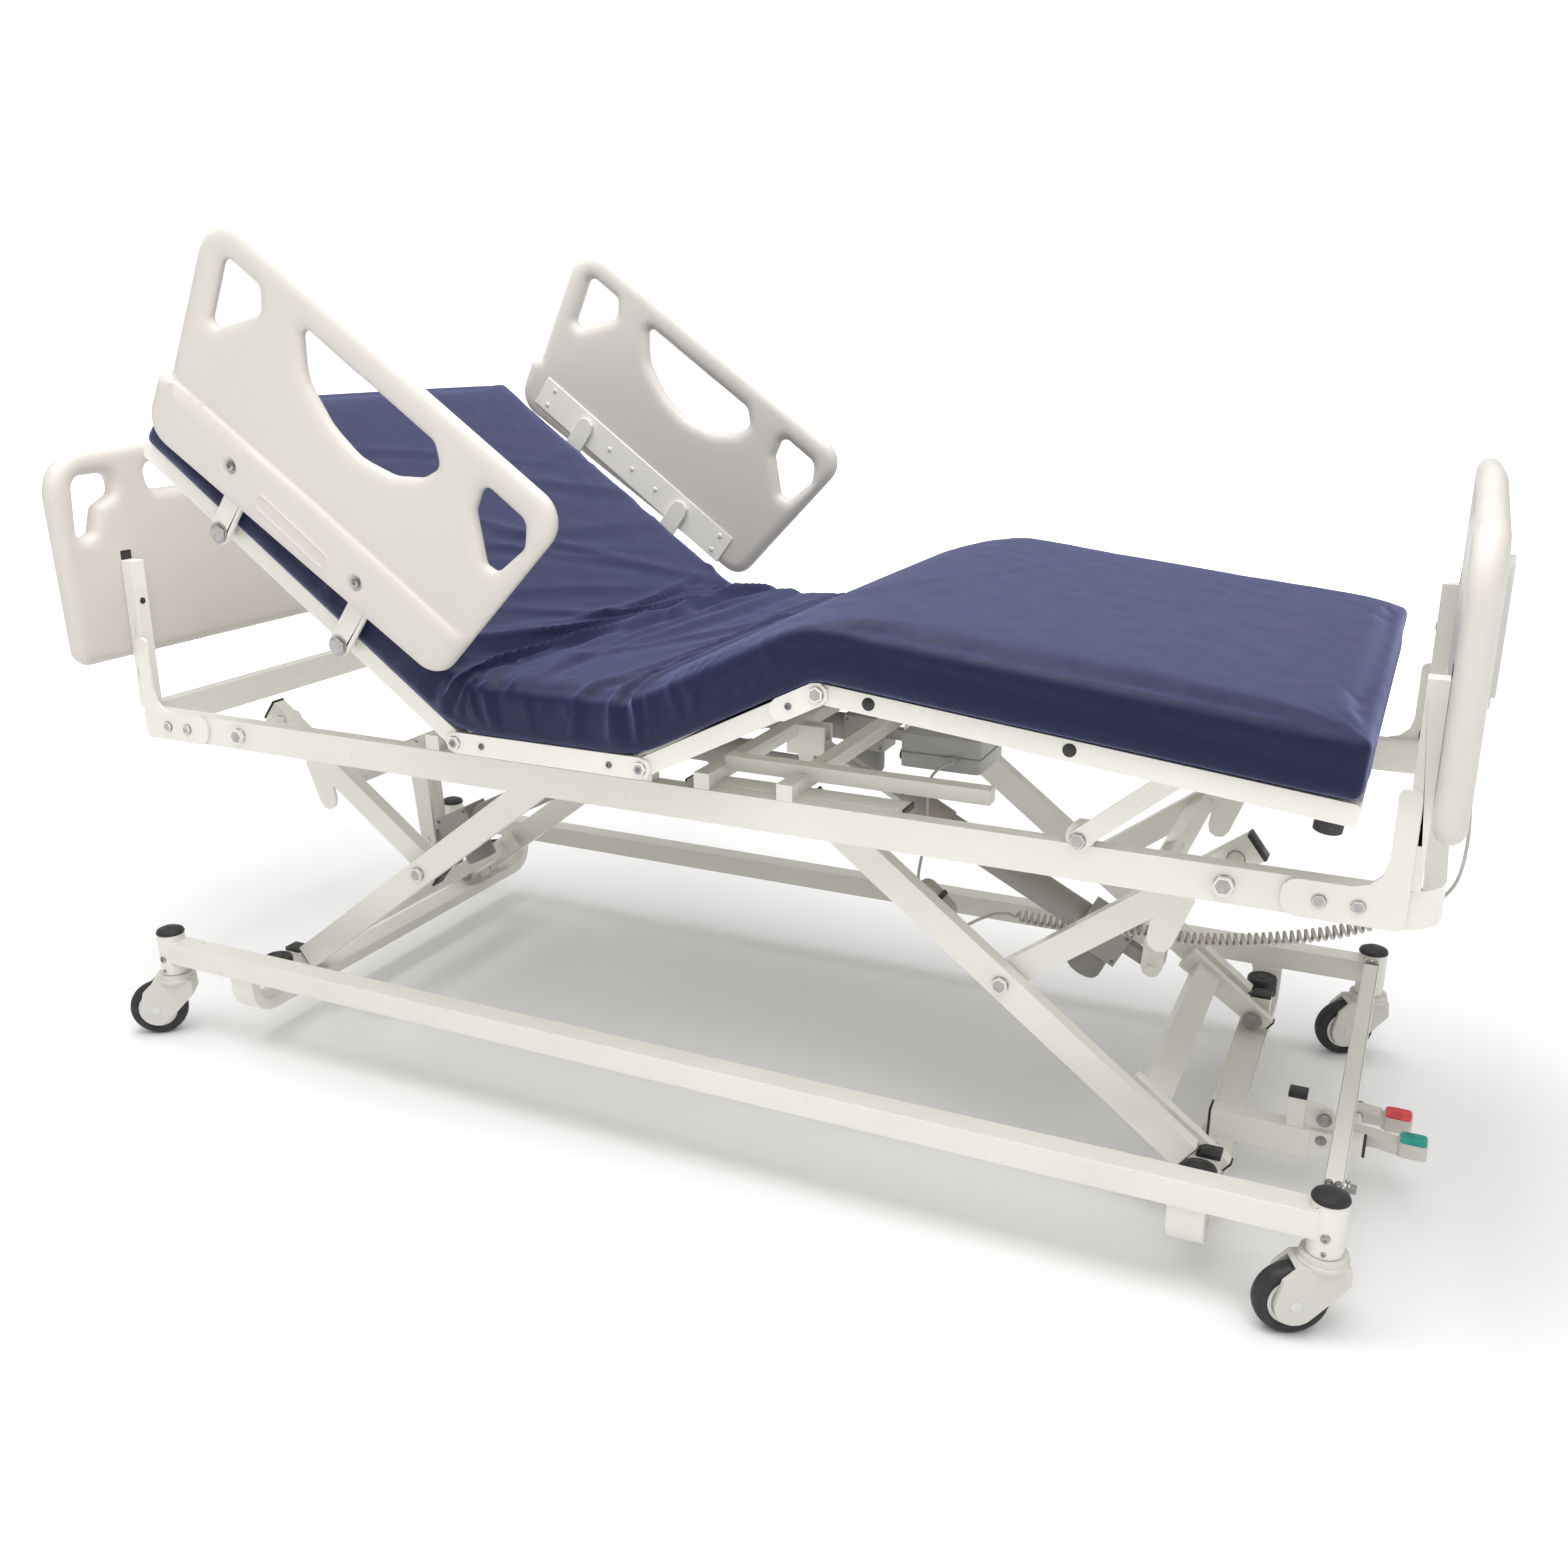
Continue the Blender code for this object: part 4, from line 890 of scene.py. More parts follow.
def pleats(s, across):
    """Short gathers that run over the long edges."""
    draw = np.random.default_rng(5)
    height = np.zeros(len(s))
    # Centre, spread and count
    groups = (
        (S_BACK + 0.04, 0.08, 20),
        (S_THIGH + 0.05, 0.11, 18),
        (S_KNEE + 0.02, 0.05, 6),
        (S_BACK - 0.30, 0.15, 6),
    )
    for side in (-1, 1):
        for centre, spread, count in groups:
            for _ in range(count):
                s0 = centre + draw.normal() * spread
                size = draw.uniform(0.0010, 0.0030)
                width = draw.uniform(0.004, 0.009)
                lean = draw.normal() * 0.45
                start = side * (MATTRESS_HALF + draw.uniform(-0.035, 0.045))
                u = across - start
                d = (s - s0 - u * lean) / width
                height += size * np.exp(-(d**2)) * np.exp(-((u / draw.uniform(0.025, 0.060)) ** 2))
    return height


def mattress_block():
    """The foam's outside as a slightly crowned block, laid along the mattress's path."""
    block = (MATTRESS_LENGTH - 0.002, MATTRESS_HALF - 0.002, MATTRESS_DEPTH - 0.004)
    p, faces = rounded_block(*block, 0.0125)
    p[:, 0] += 0.001
    crown = np.clip(1 - (p[:, 1] / MATTRESS_HALF) ** 4, 0, 1) * 0.0035
    p[:, 2] += crown * (p[:, 2] / MATTRESS_DEPTH)
    x, z = on_path(p[:, 0], p[:, 2])
    mesh = bpy.data.meshes.new("mattress_cover")
    mesh.from_pydata(np.stack([x, p[:, 1], z], 1).tolist(), [], faces)
    mesh.update()
    return in_scene("mattress_cover", mesh), p


CLOTH_FRAMES = 22
CLOTH = {
    "quality": 4, "mass": 0.25, "tension_stiffness": 14, "compression_stiffness": 14,
    "shear_stiffness": 6, "bending_stiffness": 0.12, "tension_damping": 8, "compression_damping": 8,
    "air_damping": 2, "use_pressure": True, "uniform_pressure_force": 1.2,
    "vertex_group_mass": "pinned", "vertex_group_shrink": "spare", "shrink_min": 0.0, "shrink_max": -0.07,
}
CLOTH_IN, CLOTH_OUT, CLOTH_ASIDE = 0.0025, 0.013, 0.010


def puffed(made, p):
    """Runs the cover as cloth with a little spare length at the hinges, then keeps it on the foam."""
    pinned = made.vertex_groups.new(name="pinned")
    pinned.add([int(i) for i in np.nonzero(p[:, 2] < 0.003)[0]], 1.0, "REPLACE")
    spare = made.vertex_groups.new(name="spare")
    near = 0.35 * np.exp(-(((p[:, 0] - S_BACK + 0.25) / 0.30) ** 2))
    near = np.maximum(near, np.exp(-(((p[:, 0] - S_BACK - 0.05) / 0.13) ** 2)))
    near = np.maximum(near, 0.9 * np.exp(-(((p[:, 0] - S_THIGH - 0.02) / 0.13) ** 2)))
    for i, weight in enumerate(near):
        if weight > 0.02:
            spare.add([i], float(weight), "REPLACE")
    cloth = made.modifiers.new("cloth", "CLOTH")
    for key, value in CLOTH.items():
        setattr(cloth.settings, key, value)
    cloth.settings.effector_weights.gravity = 0.0
    cloth.collision_settings.use_collision = False
    cloth.point_cache.frame_start, cloth.point_cache.frame_end = 1, CLOTH_FRAMES
    for number in range(1, CLOTH_FRAMES + 1):
        bpy.context.scene.frame_set(number)
    graph = bpy.context.evaluated_depsgraph_get()
    shown = made.evaluated_get(graph)
    moved = np.array([v.co for v in shown.data.vertices])
    made.modifiers.clear()
    made.vertex_groups.clear()
    bpy.context.scene.frame_set(1)
    rest = np.array([v.co for v in made.data.vertices])
    normal = np.array([v.normal for v in made.data.vertices])
    shift = moved - rest
    out = np.einsum("ij,ij->i", shift, normal)
    aside = shift - out[:, None] * normal
    out = np.where(out < 0, CLOTH_IN * np.tanh(out / CLOTH_IN), CLOTH_OUT * np.tanh(out / CLOTH_OUT))
    far = np.linalg.norm(aside, axis=1)
    aside *= (CLOTH_ASIDE * np.tanh(far / CLOTH_ASIDE) / np.maximum(far, 1e-9))[:, None]
    made.data.vertices.foreach_set("co", (rest + aside + out[:, None] * normal).ravel())
    made.data.update()


def unrolled(p):
    """Distance across the cover, counted on over the long edges and down the sides."""
    down = np.clip(MATTRESS_DEPTH - p[:, 2], 0, MATTRESS_DEPTH)
    over_edge = np.abs(p[:, 1]) > MATTRESS_HALF - 0.014
    return p[:, 1] + np.sign(p[:, 1]) * np.where(over_edge, down, 0)


def creased_cover():
    """The whole cover as one mesh, with its folds."""
    made, p = mattress_block()
    puffed(made, p)
    layer = made.data.attributes.new("along", "FLOAT_VECTOR", "POINT")
    layer.data.foreach_set("vector", p.astype(np.float32).ravel())
    finer = made.modifiers.new("finer", "SUBSURF")
    finer.levels = 1
    graph = bpy.context.evaluated_depsgraph_get()
    mesh = bpy.data.meshes.new_from_object(made.evaluated_get(graph))
    bpy.data.objects.remove(made)
    q = np.zeros(len(mesh.vertices) * 3, np.float32)
    mesh.attributes["along"].data.foreach_get("vector", q)
    q = q.reshape(-1, 3).astype(float)
    mesh.attributes.remove(mesh.attributes["along"])
    co = np.array([v.co for v in mesh.vertices])
    normal = np.array([v.normal for v in mesh.vertices])
    across = unrolled(q)
    free = step(q[:, 2], 0.004, 0.030)
    ends = step(q[:, 0], 0.0, 0.05) * (1 - step(q[:, 0], MATTRESS_LENGTH - 0.05, MATTRESS_LENGTH))
    height = (creases(q[:, 0], across) + pleats(q[:, 0], across)) * free * ends
    co += normal * height[:, None]
    mesh.vertices.foreach_set("co", co.ravel())
    mesh.update()
    return mesh


def path_points(*distances):
    """Points of the mattress's underside, in the row frame."""
    x, z = on_path(np.array(distances), np.zeros(len(distances)))
    return np.stack([x, np.zeros(len(x)), z], 1)


def cut_across(part, at, keep_above):
    """Cuts the cover square across at a distance along it, and closes the cut."""
    here, onward = path_points(at, at + 0.001)
    cut = bmesh.ops.bisect_plane(
        part, geom=part.verts[:] + part.edges[:] + part.faces[:], dist=1e-6,
        plane_co=here, plane_no=Vector(onward - here).normalized(),
        clear_inner=keep_above, clear_outer=not keep_above,
    )
    bmesh.ops.holes_fill(part, edges=[g for g in cut["geom_cut"] if isinstance(g, bmesh.types.BMEdge)])


def mattress():
    """The cover in three lengths, cut across between the hinges."""
    mesh = creased_cover()
    on_seat, on_thigh = (S_BACK + S_THIGH) / 2, (S_THIGH + S_KNEE) / 2
    covers = (
        ("back", None, on_seat, "back", "frame", S_BACK, ["mattress_back"]),
        ("seat", on_seat, on_thigh, "frame", "thigh", S_THIGH, ["mattress_seat", "mattress_thigh"]),
        ("foot", on_thigh, None, "thigh", "foot", S_KNEE, ["mattress_foot"]),
    )
    for name, low, high, first, second, hinge, nodes in covers:
        part = bmesh.new()
        part.from_mesh(mesh)
        if low is not None:
            cut_across(part, low, True)
        if high is not None:
            cut_across(part, high, False)
        cover = to_mesh(part, "mattress_cover_" + name)
        made = finished("mattress_cover_" + name, cover, NYLON, None, 60)
        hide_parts(*nodes)
        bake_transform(made)


mattress()

# Wheels


def both_ways(half):
    """A closed lathe profile from its first half and the same again on the other side."""
    return half + [(r, -w) for r, w in reversed(half)]


WHEEL_AT = (0.036, 0, 0.050)
TYRE = both_ways([
    (0.0330, -0.0118), (0.0350, -0.0135), (0.0420, -0.0142),
    (0.0462, -0.0125), (0.0488, -0.0085), (0.0500, -0.0030),
])
WHEEL_HUB = both_ways([
    (0.0056, -0.0100), (0.0080, -0.0150), (0.0125, -0.0150), (0.0140, -0.0128),
    (0.0270, -0.0120), (0.0295, -0.0138), (0.0336, -0.0134), (0.0345, -0.0110),
])
COLLAR = [
    (0.0120, 0.1035), (0.0322, 0.1035), (0.0330, 0.1048), (0.0330, 0.1095), (0.0318, 0.1108),
    (0.0285, 0.1110), (0.0285, 0.1148), (0.0272, 0.1162), (0.0120, 0.1162),
]
AXLE_CAP = [(0.0006, 0.0238), (0.0085, 0.0238), (0.0082, 0.0252), (0.0060, 0.0262), (0.0006, 0.0266)]


def caster(corner):
    """A wheel's tyre and hub, the swivel's collar and the axle's caps."""
    side_name, end_name = corner.split("_")
    at = (ENDS[end_name] * POST[0], SIDES[side_name] * POST[1])
    swivel = placed(*at, yaw=CASTER_YAW[corner])
    wheel, stem = "wheel_" + corner, "caster_" + corner
    tyre = [lathe("Y", WHEEL_AT, TYRE, 64, open_middle=True)]
    piece("caster_tyre_" + corner, tyre, RUBBER, wheel, swivel, 50, ["caster_wheel_" + corner])
    hub = [lathe("Y", WHEEL_AT, WHEEL_HUB, 48, open_middle=True)]
    piece("caster_hub_" + corner, hub, HUB, wheel, swivel, 30)
    collar = [lathe("Z", (0, 0, 0), COLLAR, 48)]
    piece("caster_collar_" + corner, collar, HOOD, stem, swivel, 40)
    caps = [lathe("Y", WHEEL_AT, turned_out(AXLE_CAP, way), 24) for way in (-1, 1)]
    piece("caster_axle_caps_" + corner, caps, HUB, stem, swivel)


for one_corner in CASTER_YAW:
    caster(one_corner)

# Base hardware


POST_CAP = [
    (0.0010, 0.1950), (0.0243, 0.1950), (0.0246, 0.1962), (0.0243, 0.1980),
    (0.0225, 0.2010), (0.0160, 0.2042), (0.0080, 0.2056), (0.0010, 0.2060),
]
BUMPER = [
    (0.0010, 0.1170), (0.0250, 0.1170), (0.0256, 0.1184), (0.0256, 0.1290), (0.0250, 0.1310),
    (0.0256, 0.1330), (0.0256, 0.1440), (0.0242, 0.1474), (0.0205, 0.1490), (0.0165, 0.1490),
    (0.0150, 0.1476), (0.0115, 0.1476), (0.0100, 0.1490), (0.0010, 0.1494),
]
STUB_CAP = [(0.0235, 0.1375), (0.0235, 0.1445), (0.0, 0.1445), (-0.0100, 0.1402), (-0.0105, 0.1375)]
PEDAL_BOLTS = (
    ((0.9670, -0.1392, 0.1520), 0.0088, 0.0042, -1, 1.25),
    ((0.9660, -0.1392, 0.1175), 0.0062, 0.0040, -1, 1.25),
    ((1.0100, -0.0125, 0.1180), 0.0066, 0.0040, 1, 1.3),
)
# Stacked steps of the stud on the foot end bar: radius, start, end and sides
STUD = (
    (0.0105, 0.0, 0.0022, 28), (0.0080, 0.0022, 0.0050, 6),
    (0.0100, 0.0050, 0.0066, 28), (0.0064, 0.0066, 0.0150, 6),
)


def base_hardware():
    """Caps, bumpers, bolts and weld shelves of the base."""
    caps, bolts = [], []
    for end in (-1, 1):
        for side in (-1, 1):
            post_x, post_y = end * POST[0], side * POST[1]
            pivot_x = end * PIVOT_X
            caps.append(lathe("Z", (post_x, post_y, 0), POST_CAP, 40))
            caps.append(lathe("Z", (pivot_x, side * 0.333, 0), BUMPER, 36))
            stub = [(end * (PIVOT_X + u), z) for u, z in STUB_CAP]
            caps.append(prism("Y", stub, *span((0.2620, 0.2910), side), 0.0010, 2))
            bolts += hex_bolt("Y", (pivot_x, side * 0.2230, PIN_Z), 0.0132, 0.0045, -side, 1.25)
            bolts += screw("Y", (post_x, side * (POST[1] + 0.0228), 0.1500), 0.0062, side)
            bolts += screw("Y", (post_x, side * (POST[1] + 0.0230), 0.1272), 0.0036, side)
    piece("base_caps", caps, CAP, "base", angle=30)
    for side in (-1, 1):
        for x in (-0.006, 0.006):
            at = (POST[0] + x, side * (POST[1] - 0.0423), 0.1902)
            bolts += hex_bolt("Z", at, 0.0048, 0.0046, 1, 1.2)
    for radius, low, high, sides in STUD:
        ring = [(0.0008, 0), (radius, 0), (radius, high - low), (0.0008, high - low)]
        bolts.append(lathe("X", (POST[0] + 0.0126 + low, -0.352, 0.178), ring, sides))
    for bolt in PEDAL_BOLTS:
        bolts += hex_bolt("Y", *bolt)
    piece("base_bolts", bolts, ZINC, "base", angle=30)
    ends = [
        box((0.8065, 0.8105), (-0.1437, -0.1113), (0.0855, 0.1327), 0.0012),
        box((1.0220, 1.0262), (-0.1397, -0.1153), (0.1043, 0.1307), 0.0012),
        box((0.9143, 0.9407), (-0.1402, -0.1148), (0.1775, 0.1860), 0.0014),
    ]
    piece("pedal_bracket_caps", ends, CAP, "base", angle=30)
    for end_name, end in ENDS.items():
        x = sorted((end * (PIVOT_X - 0.0255), end * (PIVOT_X + 0.0255)))
        y = (0.3935, 0.4258)
        shelf = [box(x, span(y, side), (0.1360, 0.1421), 0.0008, 1) for side in (-1, 1)]
        piece("cross_member_welds_" + end_name, shelf, PAINT, "base")


base_hardware()


def pedal_pad(kind, colour, x, y):
    """A ribbed rubber pad in a plastic foot."""
    corners = ((-0.0165, -0.0165), (0.0195, -0.0165), (0.0195, 0.0165), (-0.0165, 0.0165))
    outline = rounded([(x + u, y + v, 0.006) for u, v in corners], 6)
    shapes = [prism("Z", outline, 0.1260, 0.1298, 0.0012, 2)]
    for k in range(-4, 5):
        rib = x + 0.0015 + k * 0.0034
        limits = (rib - 0.0009, rib + 0.0009), (y - 0.0135, y + 0.0135), (0.1290, 0.1306)
        shapes.append(box(*limits, 0.0004, 1))
    piece(kind + "_pedal_pad", shapes, colour, kind + "_pedal_body", angle=30)


pedal_pad("steer", GREEN, 1.086, -0.0985)
pedal_pad("brake", RED, 1.063, -0.0315)

# Lift linkage hardware


LEG_ROLLER = [
    (0.0040, 0.2997), (0.0165, 0.2997), (0.0196, 0.3020),
    (0.0196, 0.3278), (0.0165, 0.3302), (0.0040, 0.3302),
]
ARM_RING = [(0.0127, 0.2366), (0.0175, 0.2366), (0.0175, 0.2358), (0.0127, 0.2358)]
ARM_REACH = LEG_LENGTH / 2
ARM_Y, ARM_CAP_Z = (0.2363, 0.2627), (-0.0207, 0.0207)


def lift_hardware(end_name):
    """Caps, rollers, bolts and rings of one scissor pair. Local X runs along the tube."""
    extend = -ENDS[end_name]
    mirror = Matrix.Diagonal((extend, 1, 1, 1))
    leg = placed(-extend * PIVOT_X, 0, PIN_Z, -extend * LIFT_ANGLE) @ mirror
    middle_x = -extend * (PIVOT_X - ARM_REACH * math.cos(math.radians(LIFT_ANGLE)))
    middle_z = PIN_Z + ARM_REACH * math.sin(math.radians(LIFT_ANGLE))
    arm = placed(middle_x, 0, middle_z, extend * LIFT_ANGLE) @ Matrix.Diagonal((-extend, 1, 1, 1))
    leg_caps, rollers, arm_caps, bolts, rings = [], [], [], [], []
    for side in (-1, 1):
        leg_caps.append(box((0.0286, 0.0304), span((0.2648, 0.2902), side), (-0.0215, 0.0215), 0.0005, 1))
        leg_caps.append(box((0.7635, 0.7680), span((0.2643, 0.2907), side), (-0.0232, 0.0232), 0.0012))
        leg_caps.append(box((-0.0290, -0.0258), span((0.2293, 0.2477), side), (0.0030, 0.0207), 0.0008, 1))
        rollers.append(lathe("Y", (LEG_LENGTH, 0, 0), turned_out(LEG_ROLLER, side), 36))
        for x in ((ARM_REACH + 0.0296, ARM_REACH + 0.0350), (-0.0262, -0.0215)):
            arm_caps.append(box(x, span(ARM_Y, side), ARM_CAP_Z, 0.0012))
        bolts += hex_bolt("Y", (0, side * 0.2905, 0), 0.0112, 0.0080, side, 1.12)
        ring = turned_out(ARM_RING, side)
        rings.append(lathe("Y", (ARM_REACH, 0, 0), ring, 32, open_middle=True))
    body = end_name + "_leg"
    piece(end_name + "_leg_caps", leg_caps, CAP, body, leg)
    piece(end_name + "_leg_rollers", rollers, HUB, body, leg)
    body = end_name + "_arm"
    piece(end_name + "_arm_caps", arm_caps, CAP, body, arm)
    piece(end_name + "_arm_bolts", bolts, ZINC, body, arm, angle=30)
    piece(end_name + "_arm_rings", rings, DARK_ZINC, body, arm, angle=30)


for one_end in ENDS:
    lift_hardware(one_end)

# Upper frame hardware


TRACK_Y = (0.2953, 0.3363)
DECK_BOLT_Y, DECK_RIVET_Y = 0.4446, 0.4452
HINGE_RIVET = [(0.0004, 0), (0.0042, 0), (0.0040, 0.0012), (0.0004, 0.0014)]
TUBE_PLUG = [(0.0004, -0.0020), (0.0088, -0.0020), (0.0088, 0.0006), (0.0066, 0.0018), (0.0004, 0.0022)]
BUFFER = [
    (0.0008, -0.0360), (0.0150, -0.0360), (0.0172, -0.0345),
    (0.0176, -0.0170), (0.0150, -0.0150), (0.0008, -0.0150),
]


def frame_hardware():
    """Bolts, track caps and rivets of the upper frame."""
    bolts, caps, rivets = [], [], []
    for side in (-1, 1):
        for end in (-1, 1):
            bolts += hex_bolt("Y", (end * PIVOT_X, side * 0.3615, FRAME_Z), 0.0112, 0.0100, side, 1.18)
            for x in (0.936, 0.981):
                bolts += hex_bolt("Y", (end * x, side * 0.3678, FRAME_Z), 0.0074, 0.0050, side, 1.22)
            for x, out in ((0.040, -1), (0.380, 1)):
                wide = sorted((end * (x + out * 0.0003), end * (x + out * 0.0040)))
                across = span(TRACK_Y, side)
                for low, high in ((0.0195, 0.0292), (-0.0292, -0.0195)):
                    caps.append(box(wide, across, (FRAME_Z + low, FRAME_Z + high), 0.0008, 1))
            bolts += hex_bolt("Y", (end * PIVOT_X, side * 0.2280, FRAME_Z), 0.0110, 0.0050, -side, 1.35)
        for x, _ in (BACK_HINGE, THIGH_HINGE):
            bolts += hex_bolt("Y", (x, side * DECK_BOLT_Y, DECK_Z), 0.0088, 0.0052, side, 1.18)
            rivets.append(lathe("Y", (x, side * 0.4492, DECK_Z), turned_out(HINGE_RIVET, side), 20))
        for x in (BACK_HINGE[0] + 0.05, THIGH_HINGE[0] - 0.05):
            rivets += screw("Y", (x, side * DECK_RIVET_Y, DECK_Z), 0.0050, side)
    piece("frame_bolts", bolts, ZINC, "frame", angle=30)
    piece("frame_caps", caps, CAP, "frame")
    piece("frame_rivets", rivets, DARK_ZINC, "frame", angle=30)


def deck_hardware():
    """Bolts, rivets, plugs and buffers of the moving deck, its links and the side rails' arms."""
    bolts, rivets, plugs, buffers, links = [], [], [], [], []
    tip = FOOT_IN_BED @ Vector((LINK_TIP_ON_FOOT[0], 0, LINK_TIP_ON_FOOT[1]))
    for side in (-1, 1):
        bolts += hex_bolt("Y", (THIGH_LENGTH, side * DECK_BOLT_Y, 0), 0.0092, 0.0052, side, 1.2)
        rivets += screw("Y", (THIGH_LENGTH - 0.045, side * DECK_RIVET_Y, 0), 0.0050, side)
        for s in (0.072, 0.340):
            plugs.append(lathe("Y", (s, side * 0.4386, 0.001), turned_out(TUBE_PLUG, side), 26))
        buffers.append(lathe("Z", (FOOT_LENGTH - 0.030, side * 0.405, 0), BUFFER, 32))
        links += hex_bolt("Y", (LINK_PIVOT[0], side * 0.3735, LINK_PIVOT[1]), 0.0094, 0.0060, side, 1.22)
        links += screw("Y", (tip.x, side * 0.3737, tip.z), 0.0090, side)
    piece("knee_bolts", bolts, ZINC, "thigh", THIGH, angle=30)
    piece("knee_rivets", rivets, DARK_ZINC, "thigh", THIGH, angle=30)
    piece("foot_section_plugs", plugs, CAP, "foot", FOOT, angle=30)
    piece("foot_section_buffers", buffers, CAP, "foot", FOOT, angle=30)
    piece("link_bolts", links, ZINC, "support_links", angle=30)
    for side_name, side in SIDES.items():
        for which, s in zip(("lower", "upper"), RAIL_ARM_S):
            pin = hex_bolt("Y", (-s, side * 0.4676, 0), 0.0146, 0.0042, side, 1.15)
            body = f"rail_arm_{side_name}_{which}_body"
            piece(f"rail_arm_bolt_{side_name}_{which}", pin, ZINC, body, BACK, angle=30)


frame_hardware()
deck_hardware()

# Actuators


FRONT_TUBE = [
    (0.0132, -0.078), (0.0268, -0.078), (0.0284, -0.074), (0.0284, -0.030), (0.0270, -0.026),
    (0.0270, -0.006), (0.0286, -0.002), (0.0280, 0.0055), (0.0132, 0.0065),
]
MOTOR_CAN = [
    (0.0008, -0.0752), (0.0240, -0.0752), (0.0275, -0.0735), (0.0286, -0.0700),
    (0.0286, -0.0330), (0.0262, -0.0300), (0.0262, -0.0240), (0.0008, -0.0240),
]
MOTOR_RIB = [(0.0284, 0.0), (0.0292, 0.0006), (0.0292, 0.0026), (0.0284, 0.0032)]
MOTOR_X = 0.087


def actuator_details(prefix, body_pin, rod_pin, centre_y, stroke_in):
    """Sleeves, a front collar, the motor's cover and its screws over the plain housings."""
    run = Vector((rod_pin[0] - body_pin[0], rod_pin[1] - body_pin[1]))
    extend = 1 if run.x > 0 else -1
    lean = math.degrees(math.asin(run.y / run.length))
    local = placed(body_pin[0], centre_y, body_pin[1], -extend * lean) @ Matrix.Diagonal((extend, 1, 1, 1))
    front = run.length - stroke_in - 0.045
    sleeve = [(0.0135, 0.127), (0.0246, 0.127), (0.0246, front - 0.070), (0.0135, front - 0.070)]
    nose = [(r, front + w) for r, w in FRONT_TUBE]
    tubes = [lathe("X", (0, 0, 0), profile, 40, open_middle=True) for profile in (sleeve, nose)]
    motor = [lathe("Z", (MOTOR_X, 0, 0), MOTOR_CAN, 40)]
    for z in (-0.0700, -0.0640, -0.0580):
        rib = [(r, z + w) for r, w in MOTOR_RIB]
        motor.append(lathe("Z", (MOTOR_X, 0, 0), rib, 40, open_middle=True))
    screws = []
    for x in (0.054, 0.120):
        for z in (-0.023, 0.023):
            for side in (-1, 1):
                screws += screw("Y", (x, side * 0.0306, z), 0.0030, side)
    body = prefix + "_body"
    piece(prefix + "_actuator_sleeve", tubes, MOTOR, body, local, 40)
    piece(prefix + "_actuator_motor", motor, MOTOR_DARK, body, local, 40)
    piece(prefix + "_actuator_screws", screws, DARK_ZINC, body, local, 30)


BACK_CRANK = BED.inverted() @ BACK @ Vector((0.0457, 0, -0.0776))
KNEE_CRANK = BED.inverted() @ THIGH @ Vector((-0.0395, 0, -0.1343))
# Name, body pin and rod pin in XZ, centre in Y, and how far the rod can draw in
ACTUATORS = (
    ("foot_lift", (0.690, 0.300), (0.120, 0.590), -0.030, 0.132),
    ("head_lift", (-0.690, 0.300), (-0.120, 0.590), -0.030, 0.132),
    ("back", (0.200, 0.545), (BACK_CRANK.x, BACK_CRANK.z), 0.220, 0.085),
    ("knee", (-0.410, 0.515), (KNEE_CRANK.x, KNEE_CRANK.z), 0.100, 0.075),
)
for actuator in ACTUATORS:
    actuator_details(*actuator)

# Hand control and its cord


def catmull(points, per_stretch):
    """A smooth line through a few points."""
    ends = [points[0], *points, points[-1]]
    found = []
    for a, b, c, d in zip(ends, ends[1:], ends[2:], ends[3:]):
        a, b, c, d = Vector(a), Vector(b), Vector(c), Vector(d)
        for i in range(per_stretch):
            t = i / per_stretch
            bend = (2 * a - 5 * b + 4 * c - d) * t**2 + (3 * b - a - 3 * c + d) * t**3
            found.append((2 * b + (c - a) * t + bend) / 2)
    found.append(Vector(points[-1]))
    return found


CORD_RADIUS = 0.0023
CORD_STEP = 0.0032
BOX_LEAD = [
    (0.330, 0.0297, 0.5645), (0.330, 0.010, 0.566), (0.332, -0.040, 0.572), (0.336, -0.095, 0.566),
    (0.344, -0.122, 0.530), (0.348, -0.134, 0.490), (0.346, -0.150, 0.460), (0.349, -0.170, 0.4385),
    (0.3550, -0.1810, 0.4280),
]
MIDDLE_LEAD = [
    (0.4030, -0.2090, 0.3845), (0.4180, -0.2080, 0.3800), (0.4380, -0.2055, 0.3860),
    (0.4580, -0.2025, 0.3985), (0.4800, -0.2005, 0.4100), (0.4985, -0.200, 0.4148),
]
CURL = [
    (0.500, -0.200, 0.415), (0.570, -0.200, 0.413), (0.640, -0.200, 0.418), (0.700, -0.200, 0.4235),
    (0.770, -0.200, 0.4235), (0.860, -0.200, 0.440), (0.950, -0.198, 0.466), (1.020, -0.190, 0.497),
]
TAIL_X = 1.0966
TAIL = [
    (1.0212, -0.1899, 0.4975), (1.034, -0.1885, 0.5031), (1.055, -0.172, 0.513), (1.078, -0.140, 0.518),
    (1.094, -0.100, 0.535), (TAIL_X + 0.003, -0.058, 0.575), (TAIL_X, -0.026, 0.630),
    (TAIL_X, -0.008, 0.690), (TAIL_X, 0.000, 0.7447),
]
HANK_ENDS = (Vector((0.372, 0.430)), Vector((0.404, 0.400)))
HANK_WAY = (HANK_ENDS[1] - HANK_ENDS[0]).normalized()
HANK_OVER = Vector((-HANK_WAY.y, HANK_WAY.x))
HANK_Y = (-0.1830, -0.2090)
HANK_RADIUS = 0.0132
HANK_TURNS = 5.26
HANK_STEPS = 30
CURL_PITCH = 0.0094
CURL_RADIUS = 0.0086
CURL_STEPS = 16


def on_bend(centre, angle):
    """A point of a bend at one end of the hank."""
    return centre + HANK_WAY * (HANK_RADIUS * math.cos(angle)) + HANK_OVER * (HANK_RADIUS * math.sin(angle))


